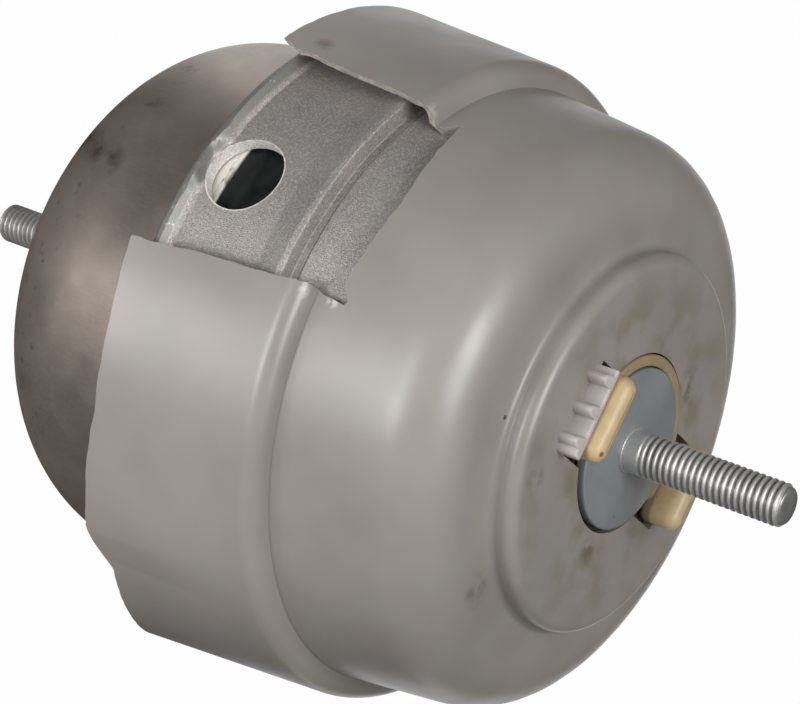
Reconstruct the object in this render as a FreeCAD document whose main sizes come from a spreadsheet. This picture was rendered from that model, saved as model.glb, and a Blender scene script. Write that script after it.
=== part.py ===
# Hydraulic engine mount with a moulded shroud, in millimetres.
# +Z runs along the studs, from the drawn cup up to the shroud's end face. The origin is the
# centre of the cup's seat, where the lower stud comes out. +X runs through the two lugs.
import FreeCAD
import Part
import Sketcher
import math
import os
from FreeCAD import Placement, Rotation, Vector

os.makedirs("parts", exist_ok=True)
doc = FreeCAD.newDocument("engine_mount")

# Driving dimensions
SIZES = [
    # studs
    ("stud_r", 4.0, "radius of both studs"),
    ("stud_chamfer", 0.9, "chamfer at a stud's tip"),
    ("upper_reach", 31.4, "upper stud above the core plate"),
    ("upper_bite", 24.0, "upper stud pressed into the core"),
    ("knurl_rise", 0.9, "knurled part of either stud, outside its shank"),
    ("lower_reach", 38.5, "lower stud below the seat"),
    ("head_rise", 5.5, "head of the lower stud, outside its shank"),
    ("head_thick", 4.0, "thickness of that head"),
    ("press_gap", 0.05, "gap drawn at a pressed or bonded joint"),
    ("slip_gap", 0.3, "gap drawn at a loose fit"),
    # core, measured down from its top
    ("core_r", 17.5, "core's shank"),
    ("core_plate_thick", 2.0, "core plate"),
    ("neck_shoulder", 3.8, "stop plate's shoulder on the core"),
    ("core_plate_lap", 1.2, "core plate past the core's neck"),
    ("core_flare_drop", 33.0, "core plate's top to the core's widest part"),
    ("core_flare_wide", 7.5, "that part outside the shank"),
    ("core_tip_drop", 11.0, "widest part to the core's lower end"),
    ("core_tip_inset", 12.0, "lower end inside the widest part"),
    ("stop_inset", 1.7, "stop plate inside the boss"),
    ("stop_thick", 2.5, "stop plate"),
    # guard ring and its two lugs
    ("guard_flange_thick", 2.7, "flange under the shroud"),
    ("guard_flange_lap", 5.8, "that flange past the lugs"),
    ("guard_flange_inset", 6.2, "the same flange inside the boss"),
    ("guard_gap", 0.9, "open gap round the core plate"),
    ("guard_wall", 1.4, "ring in the shroud's hole"),
    ("guard_drop", 0.9, "ring's top below the core plate's top"),
    ("lug_inset", 0.7, "lug's inner face outside the ring's bore"),
    ("lug_thick", 4.8, "lug, measured outward"),
    ("lug_width", 16.0, "lug, measured across"),
    ("lug_reach", 5.6, "lug above the core plate's top"),
    ("lug_round", 2.3, "rounding of a lug's top"),
    # shroud
    ("shroud_wall", 1.7, "moulded wall"),
    ("skirt_r", 64.4, "skirt at its free edge"),
    ("skirt_flare", 3.8, "skirt's widening below its shoulder"),
    ("shoulder_step", 4.2, "shoulder outside the drum's foot"),
    ("drum_lean", 4.0, "drum's narrowing to its end face"),
    ("drum_flat", 4.8, "least flat ring between the boss and the drum's big rounding"),
    ("skirt_drop", 10.2, "skirt's free edge below the housing's lip"),
    ("step_rise", 0.8, "step from drum to skirt, above the housing's waist"),
    ("boss_drop", 0.8, "boss face below the core plate's top"),
    ("boss_rise", 4.8, "boss above the end face"),
    ("boss_round", 2.2, "rounding of the boss"),
    ("boss_foot_round", 1.5, "rounding at the boss's foot"),
    ("drum_round", 12.6, "drum's big rounding"),
    ("shoulder_round", 3.4, "rounding of the shoulder"),
    ("window_mid", -15.2, "direction of the cut window, degrees"),
    ("window_span", 39.8, "width of the window, degrees"),
    ("window_over", 3.9, "window past the step"),
    ("trim_mid", -10.0, "direction of the shallow cut in the skirt's free edge, degrees"),
    ("trim_span", 184.0, "width of that cut, degrees"),
    ("trim_deep", 8.8, "that cut"),
    ("notch_gap", 0.7, "shroud's notch round a lug"),
    ("fence_wall", 1.5, "upstanding wall outside a lug"),
    ("fence_rise", 4.6, "that wall above the boss"),
    ("fence_width", 18.4, "that wall, measured across"),
    ("rib_wide", 2.4, "rib on the wall"),
    ("rib_deep", 2.0, "rib on the wall"),
    ("rib_pitch", 6.3, "rib on the wall"),
    ("end_rib_deep", 1.1, "small rib at each end of the wall"),
    # housing
    ("lip_z", 45.6, "lower face of the rolled lip, above the cup's seat"),
    ("lip_tall", 1.6, "lip"),
    ("lip_sheet", 1.5, "part of the lip turned under the cup's flange"),
    ("lip_gap", 2.1, "lip inside the shroud"),
    ("lip_lap", 2.4, "lip outside the wall above it"),
    ("wall_lean", 0.5, "wall's narrowing to the ridge"),
    ("wall_thick", 1.9, "wall round the bore"),
    ("bore_over", 2.4, "bore past the start of the ridge"),
    ("wall_tall", 20.0, "lip's lower face to the ridge"),
    ("ridge_rise", 0.9, "ridge outside the wall"),
    ("ridge_wide", 7.4, "ridge"),
    ("ridge_round", 2.6, "rounding of the ridge"),
    ("groove_deep", 4.4, "groove beside the ridge, below the ridge's top"),
    ("groove_wide", 1.3, "that groove"),
    ("waist_inset", 3.6, "wall above the groove, inside the ridge"),
    ("waist_lean", 1.6, "that wall's narrowing"),
    ("waist_rise", 12.0, "start of the ridge to the start of the crown's taper"),
    ("crown_lean", 4.9, "crown's narrowing to its top corner"),
    ("crown_tall", 21.9, "height of the crown"),
    ("crown_room", 7.2, "crown's top below the shroud's inner face"),
    ("throat_room", 6.5, "hole in the crown's top round the core"),
    ("crown_round", 9.0, "rounding of the top corner"),
    ("crown_wall", 3.4, "wall of the upper housing"),
    ("sight_r", 7.1, "round hole in the housing's wall"),
    ("sight_rise", 8.9, "that hole's centre above the lip's lower face"),
    ("sight_mid", -11.0, "direction of that hole, degrees"),
    # drawn cup, inside the housing's bore
    ("cup_inset", 3.7, "cup's rim inside the bore"),
    ("cup_draft", 1.3, "cup's narrowing to its seat"),
    ("cup_round", 24.0, "cup's corner"),
    ("cup_sheet", 2.0, "cup's sheet"),
    # rubber, rings and channel plates
    ("buffer_set", 1.0, "bump buffer outside the crown's hole"),
    ("buffer_wide", 10.0, "bump buffer"),
    ("buffer_thick", 3.6, "bump buffer"),
    ("ring_wall", 2.4, "support ring"),
    ("ring_tall", 6.6, "support ring"),
    ("ring_step_rise", 0.9, "step on the support ring's outside, above the cup's flange"),
    ("ring_step_deep", 1.6, "that step, filled with the spring's rubber"),
    ("ring_shelf", 6.2, "support ring's top, measured inward"),
    ("ring_notch_wide", 2.4, "notch in the support ring's step"),
    ("ring_notch_deep", 0.9, "that notch"),
    ("spring_foot_tall", 3.0, "spring's thick foot on the ring's step"),
    ("spring_ledge", 1.0, "step in the spring above its foot"),
    ("spring_neck_rise", 14.0, "top of the spring above the core's widest part"),
    ("spring_brow_inset", 10.5, "spring's outer cone, half way, inside the ring"),
    ("spring_brow_rise", 3.0, "that point above the core's widest part"),
    ("channel_lid", 1.5, "upper channel plate"),
    ("channel_flange", 1.5, "flange of the lower channel plate"),
    ("channel_body_tall", 9.4, "lower channel plate below the cup's flange"),
    ("channel_rim", 3.0, "plate outside the fluid channel"),
    ("channel_wide", 7.0, "fluid channel"),
    ("channel_deep", 8.0, "fluid channel"),
    ("pocket_inset", 6.0, "pocket of the loose membrane, inside the channel"),
    ("grid_inset", 12.0, "circle of the holes over the membrane, inside the pocket"),
    ("membrane_thick", 2.6, "loose membrane"),
    ("grid_hole_r", 3.2, "holes over the membrane"),
    ("grid_count", 8, "number of those holes"),
    ("bellows_wall", 2.0, "rolling diaphragm"),
    ("bellows_drop", 17.5, "its lowest point below the lower plate"),
    ("bellows_floor_inset", 17.0, "its floor inside its rim"),
]

sheet = doc.addObject("Spreadsheet::Sheet", "Sizes")
for row, (alias, value, note) in enumerate(SIZES, start=1):
    sheet.set(f"A{row}", note)
    sheet.set(f"B{row}", str(value))
    sheet.setAlias(f"B{row}", alias)
doc.recompute()


class Size:
    """A length that keeps both its value and its formula in the sheet's names."""

    def __init__(self, value, formula):
        self.value = float(value)
        self.formula = formula

    def join(self, sign, other, value):
        right = other.formula if isinstance(other, Size) else str(other)
        return Size(value, f"({self.formula} {sign} {right})")

    def __add__(self, other):
        return self.join("+", other, self.value + number(other))

    def __sub__(self, other):
        return self.join("-", other, self.value - number(other))

    def __mul__(self, other):
        return self.join("*", other, self.value * number(other))

    def __truediv__(self, other):
        return self.join("/", other, self.value / number(other))

    def __neg__(self):
        return Size(-self.value, f"(0 - {self.formula})")


def number(size):
    return size.value if isinstance(size, Size) else float(size)


def smaller(one, other):
    return Size(min(one.value, other.value), f"min({one.formula}; {other.formula})")


class Book:
    """The sheet's sizes by name, and the ones worked out from them."""


S = Book()
for alias, value, note in SIZES:
    setattr(S, alias, Size(value, f"Sizes.{alias}"))
ZERO = Size(0, "0")

# Heights that several pieces share, from the cup's seat upward
S.skirt_z = S.lip_z - S.skirt_drop
S.ridge_z = S.lip_z + S.wall_tall
S.bore_z = S.ridge_z + S.bore_over
S.waist_z = S.ridge_z + S.waist_rise
S.step_z = S.waist_z + S.step_rise
S.crown_z = S.waist_z + S.crown_tall
S.sight_z = S.lip_z + S.sight_rise
S.face_z = S.crown_z + S.crown_room + S.shroud_wall
S.boss_z = S.face_z + S.boss_rise
S.core_face_z = S.boss_z + S.boss_drop
S.boss_under_z = S.boss_z - S.shroud_wall
S.guard_flange_z = S.boss_under_z - S.guard_flange_thick
S.stop_z = S.guard_flange_z - S.stop_thick
S.core_top_z = S.core_face_z - S.core_plate_thick
S.core_flare_z = S.core_face_z - S.core_flare_drop
S.core_tip_z = S.core_flare_z - S.core_tip_drop
S.spring_neck_z = S.core_flare_z + S.spring_neck_rise
S.spring_brow_z = S.core_flare_z + S.spring_brow_rise
S.flange_z = S.lip_z + S.lip_sheet
S.flange_top_z = S.flange_z + S.cup_sheet
S.ring_top_z = S.flange_top_z + S.ring_tall
S.ring_under_z = S.ring_top_z - S.ring_wall
S.ring_step_z = S.flange_top_z + S.ring_step_rise
S.spring_foot_z = S.ring_step_z + S.spring_foot_tall
S.lid_z = S.ring_under_z - S.channel_lid
S.channel_flange_z = S.lid_z - S.channel_flange
S.channel_body_z = S.flange_top_z - S.channel_body_tall
S.pocket_z = S.lid_z - S.membrane_thick - S.slip_gap * 2
S.bellows_z = S.channel_body_z - S.bellows_drop

# Radii that several pieces share, from the shroud's skirt inward
S.shoulder_r = S.skirt_r - S.skirt_flare
S.drum_r = S.shoulder_r - S.shoulder_step
S.drum_top_r = S.drum_r - S.drum_lean
S.lip_r = S.skirt_r - S.shroud_wall - S.lip_gap
S.wall_foot_r = S.lip_r - S.lip_lap
S.wall_top_r = S.wall_foot_r - S.wall_lean
S.bore_r = S.wall_top_r - S.wall_thick
S.ridge_r = S.wall_top_r + S.ridge_rise
S.waist_r = S.ridge_r - S.waist_inset
S.crown_r = S.waist_r - S.crown_lean
S.cup_flange_r = S.bore_r - S.slip_gap
S.cup_rim_r = S.bore_r - S.cup_inset
S.cup_seat_r = S.cup_rim_r - S.cup_draft
S.cup_in_r = S.cup_rim_r - S.cup_sheet
S.lip_in_r = S.cup_rim_r + S.slip_gap * 3
S.ring_out_r = S.bore_r - S.slip_gap
S.ring_bore_r = S.ring_out_r - S.ring_wall
S.ring_step_r = S.ring_out_r - S.ring_step_deep
S.ring_in_r = S.ring_out_r - S.ring_shelf
S.plate_r = S.ring_bore_r - S.press_gap
S.spring_r = S.ring_out_r - S.slip_gap
S.spring_brow_r = S.ring_in_r - S.spring_brow_inset
S.bead_r = S.cup_in_r - S.slip_gap
S.channel_body_r = S.bead_r - S.bellows_wall * 2
S.channel_out_r = S.channel_body_r - S.channel_rim
S.channel_in_r = S.channel_out_r - S.channel_wide
S.pocket_r = S.channel_in_r - S.pocket_inset
S.grid_ring_r = S.pocket_r - S.grid_inset
S.bellows_floor_r = S.bead_r - S.bellows_floor_inset

# Radii round the core, from the studs outward
S.knurl_r = S.stud_r + S.knurl_rise
S.stud_bore_r = S.knurl_r + S.press_gap
S.head_r = S.stud_r + S.head_rise
S.neck_r = S.core_r - S.neck_shoulder
S.core_plate_r = S.neck_r + S.core_plate_lap
S.core_flare_r = S.core_r + S.core_flare_wide
S.core_tip_r = S.core_flare_r - S.core_tip_inset
S.throat_r = S.core_r + S.throat_room
S.buffer_in_r = S.throat_r + S.buffer_set
S.buffer_out_r = S.buffer_in_r + S.buffer_wide
S.guard_bore_r = S.core_plate_r + S.guard_gap
S.guard_out_r = S.guard_bore_r + S.guard_wall
S.hole_r = S.guard_out_r + S.slip_gap
S.lug_inner = S.guard_bore_r + S.lug_inset
S.lug_outer = S.lug_inner + S.lug_thick
S.guard_flange_r = S.lug_outer + S.guard_flange_lap
S.boss_r = S.guard_flange_r + S.guard_flange_inset + S.shroud_wall
S.stop_r = S.boss_r - S.shroud_wall - S.stop_inset
S.drum_round_fit = smaller(S.drum_round, S.drum_top_r - S.boss_r - S.drum_flat)
S.notch_outer = S.lug_outer + S.slip_gap
S.fence_outer = S.notch_outer + S.fence_wall


def check(feature):
    """Recompute, and stop where the feature or its shape has failed."""
    doc.recompute()
    if {"Invalid", "Error"} & set(feature.State) or feature.Shape.isNull():
        raise RuntimeError(f"{feature.Label} failed: {feature.State}")
    return feature


def bind(target, name, size):
    """Tie one property or constraint to its formula in the sheet."""
    if isinstance(size, Size):
        target.setExpression(name, size.formula)


def new_body(label):
    body = doc.addObject("PartDesign::Body", label)
    body.Label = label
    return body


def new_sketch(body, name, role, lift=ZERO, turn=ZERO):
    """A sketch on one of the body's own planes, lifted along its normal or turned about Z."""
    planes = {plane.Role: plane for plane in body.Origin.OriginFeatures}
    sketch = body.newObject("Sketcher::SketchObject", name)
    sketch.AttachmentSupport = (planes[role], [""])
    sketch.MapMode = "FlatFace"
    if lift is not ZERO:
        sketch.AttachmentOffset = Placement(Vector(0, 0, lift.value), Rotation())
        bind(sketch, "AttachmentOffset.Base.z", lift)
    if turn is not ZERO:
        sketch.AttachmentOffset = Placement(Vector(0, 0, 0), Rotation(Vector(0, 1, 0), turn.value))
        bind(sketch, "AttachmentOffset.Rotation.Angle", turn)
    return sketch


def pin_point(sketch, line, end, across, up):
    """Fix one end of a line at two sizes from the sketch's origin."""
    for kind, axis, size in (("DistanceX", -2, across), ("DistanceY", -1, up)):
        if size is ZERO:
            sketch.addConstraint(Sketcher.Constraint("PointOnObject", line, end, axis))
        else:
            index = sketch.addConstraint(Sketcher.Constraint(kind, -1, 1, line, end, size.value))
            bind(sketch, f"Constraints[{index}]", size)


def draw_outline(sketch, corners):
    """A closed outline with straight sides, each corner at its own two sizes."""
    first = sketch.GeometryCount
    count = len(corners)
    for k in range(count):
        (x0, y0), (x1, y1) = corners[k], corners[(k + 1) % count]
        start = Vector(x0.value, y0.value, 0)
        sketch.addGeometry(Part.LineSegment(start, Vector(x1.value, y1.value, 0)))
    for k in range(count):
        following = first + (k + 1) % count
        sketch.addConstraint(Sketcher.Constraint("Coincident", first + k, 2, following, 1))
    for k, (across, up) in enumerate(corners):
        pin_point(sketch, first + k, 1, across, up)


def draw_circle(sketch, radius, across=ZERO, up=ZERO):
    """A circle whose centre is at two sizes from the sketch's origin."""
    centre = Vector(across.value, up.value, 0)
    circle = sketch.addGeometry(Part.Circle(centre, Vector(0, 0, 1), radius.value))
    index = sketch.addConstraint(Sketcher.Constraint("Radius", circle, radius.value))
    bind(sketch, f"Constraints[{index}]", radius)
    pin_point(sketch, circle, 3, across, up)


def draw_rectangle(sketch, left, right, low, high):
    draw_outline(sketch, [(left, low), (right, low), (right, high), (left, high)])


def revolve(body, name, corners):
    """Turn an outline of radius and height about Z."""
    sketch = new_sketch(body, name + "_profile", "XZ_Plane")
    draw_outline(sketch, corners)
    turned = body.newObject("PartDesign::Revolution", name)
    turned.Profile = sketch
    turned.ReferenceAxis = (sketch, ["V_Axis"])
    turned.Angle = 360
    return check(turned)


def tube(body, name, inner, outer, low, high):
    """Turn a rectangle about Z: a ring, or a disc where the inner radius is zero."""
    return revolve(body, name, [(inner, low), (outer, low), (outer, high), (inner, high)])


def groove(body, name, corners, angle=None, turn=ZERO):
    """Cut an outline of radius and height, all round or through an angle about its plane."""
    before = body.Shape.Volume
    sketch = new_sketch(body, name + "_profile", "XZ_Plane", turn=turn)
    draw_outline(sketch, corners)
    cut = body.newObject("PartDesign::Groove", name)
    cut.Profile = sketch
    cut.ReferenceAxis = (sketch, ["V_Axis"])
    cut.Angle = 360
    if angle is not None:
        cut.Midplane = True
        cut.Angle = angle.value
        bind(cut, "Angle", angle)
    check(cut)
    if body.Shape.Volume >= before:
        raise RuntimeError(f"{name} cuts nothing")
    return cut


def pad(body, name, sketch, length, taper=0.0):
    grown = body.newObject("PartDesign::Pad", name)
    grown.Profile = sketch
    grown.Length = length.value
    bind(grown, "Length", length)
    grown.TaperAngle = taper
    return check(grown)


def pocket(body, name, sketch, length, reverse=False):
    """Cut a sketch to a depth, and stop where nothing was cut."""
    before = body.Shape.Volume
    cut = body.newObject("PartDesign::Pocket", name)
    cut.Profile = sketch
    cut.Length = length.value
    bind(cut, "Length", length)
    cut.Reversed = reverse
    check(cut)
    if body.Shape.Volume >= before:
        raise RuntimeError(f"{name} cuts nothing")
    return cut


def ring_edge(feature, radius, height):
    """Names of the feature's circular edges about Z with that radius and height."""
    names = []
    for index, edge in enumerate(feature.Shape.Edges, start=1):
        curve = edge.Curve
        if not isinstance(curve, Part.Circle):
            continue
        centred = math.hypot(curve.Center.x, curve.Center.y) < 0.01
        if centred and abs(curve.Radius - radius.value) < 0.01 and abs(curve.Center.z - height.value) < 0.01:
            names.append(f"Edge{index}")
    if not names:
        raise RuntimeError(f"no edge of radius {radius.value} at height {height.value}")
    return names


def fillet(body, name, feature, edges, size):
    rounded = body.newObject("PartDesign::Fillet", name)
    rounded.Base = (feature, edges)
    rounded.Radius = size.value
    bind(rounded, "Radius", size)
    return check(rounded)


def chamfer(body, name, feature, edges, size):
    bevel = body.newObject("PartDesign::Chamfer", name)
    bevel.Base = (feature, edges)
    bevel.Size = size.value
    bind(bevel, "Size", size)
    return check(bevel)


def polar(body, name, originals, count):
    """Repeat features round Z."""
    pattern = body.newObject("PartDesign::PolarPattern", name)
    pattern.Originals = originals
    axes = {axis.Role: axis for axis in body.Origin.OriginFeatures}
    pattern.Axis = (axes["Z_Axis"], [""])
    pattern.Angle = 360
    pattern.Occurrences = int(number(count))
    bind(pattern, "Occurrences", count)
    body.Tip = pattern
    return check(pattern)


# Drawn cup: one sheet, deep drawn, with a flange that the housing's lip is rolled over
cup = new_body("lower_cup")
blank = tube(cup, "blank", ZERO, S.cup_rim_r, ZERO, S.flange_top_z)
side = groove(cup, "side_taper", [
    (S.cup_seat_r, ZERO), (S.cup_rim_r + S.cup_sheet, ZERO), (S.cup_rim_r + S.cup_sheet, S.flange_z),
    (S.cup_rim_r, S.flange_z)])
corner = fillet(cup, "corner", side, ring_edge(side, S.cup_seat_r, ZERO), S.cup_round)
top_faces = [f"Face{k}" for k, face in enumerate(corner.Shape.Faces, start=1)
             if abs(face.CenterOfMass.z - S.flange_top_z.value) < 0.001]
hollow = cup.newObject("PartDesign::Thickness", "sheet")
hollow.Base = (corner, top_faces)
hollow.Value = S.cup_sheet.value
bind(hollow, "Value", S.cup_sheet)
hollow.Reversed = True
check(hollow)
flange = tube(cup, "flange", S.cup_rim_r - S.cup_sheet / 2, S.cup_flange_r, S.flange_z, S.flange_top_z)
seat_hole = new_sketch(cup, "stud_hole_circle", "XY_Plane")
draw_circle(seat_hole, S.stud_bore_r)
pocket(cup, "stud_hole", seat_hole, S.cup_sheet * 2, reverse=True)

# Lower stud with its head inside the cup
lower_stud = new_body("lower_stud")
shank = revolve(lower_stud, "shank", [
    (ZERO, -S.lower_reach), (S.stud_r, -S.lower_reach), (S.stud_r, ZERO), (S.knurl_r, ZERO),
    (S.knurl_r, S.cup_sheet), (S.head_r, S.cup_sheet),
    (S.head_r, S.cup_sheet + S.head_thick), (ZERO, S.cup_sheet + S.head_thick)])
chamfer(lower_stud, "tip", shank, ring_edge(shank, S.stud_r, -S.lower_reach), S.stud_chamfer)

# Rolling diaphragm of thin rubber, closed at the bottom, with its rim on a steel ring
diaphragm_ring = new_body("diaphragm_ring")
tube(diaphragm_ring, "ring", S.bead_r + S.press_gap, S.plate_r, S.flange_top_z, S.channel_flange_z)

diaphragm = new_body("diaphragm")
wall = S.bellows_wall
waist_z = S.bellows_z + (S.channel_body_z - S.bellows_z) * 0.4
revolve(diaphragm, "bellows", [
    (ZERO, S.bellows_z), (S.bellows_floor_r, S.bellows_z), (S.bead_r - wall * 2, waist_z),
    (S.bead_r - wall / 2, S.channel_body_z), (S.bead_r, S.flange_top_z), (S.bead_r, S.channel_flange_z),
    (S.bead_r - wall, S.channel_flange_z), (S.bead_r - wall * 1.5, S.channel_body_z),
    (S.bead_r - wall * 3, waist_z + wall * 0.5), (S.bellows_floor_r - wall * 0.4, S.bellows_z + wall),
    (ZERO, S.bellows_z + wall)])

# Channel plates: the lower one holds the ring channel and the loose membrane's pocket
channel_plate = new_body("track_plate_lower")
tube(channel_plate, "body", ZERO, S.channel_body_r, S.channel_body_z, S.lid_z)
tube(channel_plate, "flange", S.channel_in_r, S.plate_r, S.channel_flange_z, S.lid_z)
groove(channel_plate, "channel", [
    (S.channel_in_r, S.lid_z - S.channel_deep), (S.channel_out_r, S.lid_z - S.channel_deep),
    (S.channel_out_r, S.lid_z), (S.channel_in_r, S.lid_z)])
groove(channel_plate, "pocket", [
    (ZERO, S.pocket_z), (S.pocket_r, S.pocket_z), (S.pocket_r, S.lid_z), (ZERO, S.lid_z)])
groove(channel_plate, "underside", [
    (ZERO, S.channel_body_z), (S.pocket_r, S.channel_body_z),
    (S.pocket_r, S.pocket_z - S.channel_flange * 2), (ZERO, S.pocket_z - S.channel_flange * 2)])
grid_below = new_sketch(channel_plate, "grid_circle", "XY_Plane", lift=S.lid_z)
draw_circle(grid_below, S.grid_hole_r, across=S.grid_ring_r)
grid = pocket(channel_plate, "grid_hole", grid_below, S.lid_z - S.channel_body_z)
polar(channel_plate, "grid", [grid], S.grid_count)

channel_lid = new_body("track_plate_upper")
tube(channel_lid, "plate", ZERO, S.plate_r, S.lid_z, S.ring_under_z)
grid_above = new_sketch(channel_lid, "grid_circle", "XY_Plane", lift=S.ring_under_z)
draw_circle(grid_above, S.grid_hole_r, across=S.grid_ring_r)
grid = pocket(channel_lid, "grid_hole", grid_above, S.channel_lid * 2)
polar(channel_lid, "grid", [grid], S.grid_count)

membrane = new_body("decoupler_membrane")
tube(membrane, "disc", ZERO, S.pocket_r - S.slip_gap, S.pocket_z + S.slip_gap, S.lid_z - S.slip_gap)

# Support ring: bright steel, seen through the housing's round hole
support_ring = new_body("support_ring")
revolve(support_ring, "ring", [
    (S.ring_bore_r, S.flange_top_z), (S.ring_out_r, S.flange_top_z), (S.ring_out_r, S.ring_step_z),
    (S.ring_step_r, S.ring_step_z), (S.ring_step_r, S.ring_top_z), (S.ring_in_r, S.ring_top_z),
    (S.ring_in_r, S.ring_under_z), (S.ring_bore_r, S.ring_under_z)])
notch = new_sketch(support_ring, "notch_outline", "YZ_Plane", turn=S.sight_mid)
draw_rectangle(notch, -S.ring_notch_wide / 2, S.ring_notch_wide / 2,
               S.ring_step_z - S.ring_notch_deep, S.ring_step_z)
pocket(support_ring, "notch", notch, S.bore_r, reverse=True)

# Main spring: a rubber cone between the core and the support ring
spring = new_body("main_spring")
revolve(spring, "cone", [
    (S.ring_in_r, S.ring_top_z), (S.ring_step_r + S.press_gap, S.ring_top_z), (S.ring_step_r + S.press_gap, S.ring_step_z),
    (S.spring_r, S.ring_step_z), (S.spring_r, S.spring_foot_z),
    (S.spring_r - S.spring_ledge, S.spring_foot_z + S.spring_ledge),
    (S.spring_r - S.spring_ledge, S.bore_z - S.slip_gap), (S.ring_in_r, S.bore_z - S.slip_gap),
    (S.spring_brow_r, S.spring_brow_z), (S.core_flare_r, S.spring_neck_z),
    (S.core_r + S.press_gap, S.spring_neck_z), (S.core_r + S.press_gap, S.core_flare_z + S.core_flare_r - S.core_r),
    (S.core_flare_r + S.press_gap, S.core_flare_z), (S.core_tip_r + S.press_gap, S.core_tip_z)])

# Core: aluminium, a shank over a double cone, shouldered for the stop plate
core = new_body("inner_core")
revolve(core, "turned", [
    (ZERO, S.core_tip_z), (S.core_tip_r, S.core_tip_z), (S.core_flare_r, S.core_flare_z),
    (S.core_r, S.core_flare_z + S.core_flare_r - S.core_r), (S.core_r, S.stop_z),
    (S.neck_r, S.stop_z), (S.neck_r, S.core_top_z), (ZERO, S.core_top_z)])
stud_bore = new_sketch(core, "stud_bore_circle", "XY_Plane", lift=S.core_top_z)
draw_circle(stud_bore, S.stud_bore_r)
pocket(core, "stud_bore", stud_bore, S.upper_bite)

core_plate = new_body("core_plate")
tube(core_plate, "disc", S.stud_bore_r, S.core_plate_r, S.core_top_z, S.core_face_z)

upper_stud = new_body("upper_stud")
shank = revolve(upper_stud, "shank", [
    (ZERO, S.core_top_z - S.upper_bite), (S.knurl_r, S.core_top_z - S.upper_bite), (S.knurl_r, S.core_face_z),
    (S.stud_r, S.core_face_z), (S.stud_r, S.core_face_z + S.upper_reach), (ZERO, S.core_face_z + S.upper_reach)])
chamfer(upper_stud, "tip", shank, ring_edge(shank, S.stud_r, S.core_face_z + S.upper_reach), S.stud_chamfer)

stop_plate = new_body("stop_plate")
tube(stop_plate, "disc", S.neck_r + S.press_gap, S.stop_r, S.stop_z, S.guard_flange_z)

# Bump buffer: rubber ring on the housing's top, under the stop plate
buffer = new_body("bump_buffer")
tube(buffer, "ring", S.buffer_in_r, S.buffer_out_r, S.crown_z, S.crown_z + S.buffer_thick)

# Guard ring: cream moulded ring with two lugs that stand through the shroud's notches
guard = new_body("guard_ring")
collar = revolve(guard, "collar", [
    (S.neck_r + S.slip_gap, S.guard_flange_z), (S.guard_flange_r, S.guard_flange_z),
    (S.guard_flange_r, S.boss_under_z), (S.guard_out_r, S.boss_under_z),
    (S.guard_out_r, S.core_face_z - S.guard_drop), (S.guard_bore_r, S.core_face_z - S.guard_drop),
    (S.guard_bore_r, S.boss_under_z), (S.neck_r + S.slip_gap, S.boss_under_z)])
lug_sketch = new_sketch(guard, "lug_outline", "XY_Plane", lift=S.boss_under_z)
draw_rectangle(lug_sketch, S.lug_inner, S.lug_outer, -S.lug_width / 2, S.lug_width / 2)
lug_tall = S.core_face_z + S.lug_reach - S.boss_under_z
lug = pad(guard, "lug", lug_sketch, lug_tall)
lugs = polar(guard, "lugs", [lug], 2)
lug_top = S.core_face_z + S.lug_reach


def lug_rims(feature):
    """Edges of the two lugs to be rounded: the top's outline and the upright corners."""
    names = []
    for index, edge in enumerate(feature.Shape.Edges, start=1):
        box = edge.BoundBox
        upright = box.ZLength > S.lug_reach.value and box.XLength < 0.01 and box.YLength < 0.01
        at_top = box.ZMin > lug_top.value - 0.01
        if at_top or (upright and abs(abs(box.YMin) - S.lug_width.value / 2) < 0.01):
            names.append(f"Edge{index}")
    return names


fillet(guard, "lug_rounding", lugs, lug_rims(lugs), S.lug_round)

# Housing: die-cast, with a rolled lip, a rounded ridge, a groove and a round hole
housing = new_body("housing")
ridge_top = S.ridge_z + S.ridge_wide
groove_floor = S.ridge_r - S.groove_deep
waist_top_r = S.waist_r - S.waist_lean
shell = revolve(housing, "casting", [
    (S.lip_in_r, S.lip_z), (S.lip_r, S.lip_z), (S.lip_r, S.lip_z + S.lip_tall),
    (S.wall_foot_r, S.lip_z + S.lip_tall + (S.lip_r - S.wall_foot_r) / 2), (S.wall_top_r, S.ridge_z),
    (S.ridge_r, S.ridge_z + (S.ridge_r - S.wall_top_r)), (S.ridge_r, ridge_top), (groove_floor, ridge_top),
    (groove_floor, ridge_top + S.groove_wide), (S.waist_r, ridge_top + S.groove_wide), (waist_top_r, S.waist_z),
    (S.crown_r, S.crown_z), (S.throat_r, S.crown_z), (S.throat_r, S.crown_z - S.crown_wall),
    (S.crown_r - S.crown_wall * 2, S.crown_z - S.crown_wall), (S.crown_r - S.crown_wall, S.crown_z - S.crown_round),
    (waist_top_r - S.crown_wall, S.waist_z), (waist_top_r - S.crown_wall, S.bore_z), (S.bore_r, S.bore_z),
    (S.bore_r, S.flange_z), (S.lip_in_r, S.flange_z)])
crown = fillet(housing, "crown_rounding", shell, ring_edge(shell, S.crown_r, S.crown_z), S.crown_round)
ridge = fillet(housing, "ridge_rounding", crown, ring_edge(crown, S.ridge_r, ridge_top), S.ridge_round)
lip = fillet(housing, "lip_rounding", ridge, ring_edge(ridge, S.lip_r, S.lip_z), S.lip_sheet)
sight = new_sketch(housing, "round_hole_circle", "YZ_Plane", turn=S.sight_mid)
draw_circle(sight, S.sight_r, up=S.sight_z)
pocket(housing, "round_hole", sight, S.lip_r * 2, reverse=True)

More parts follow.
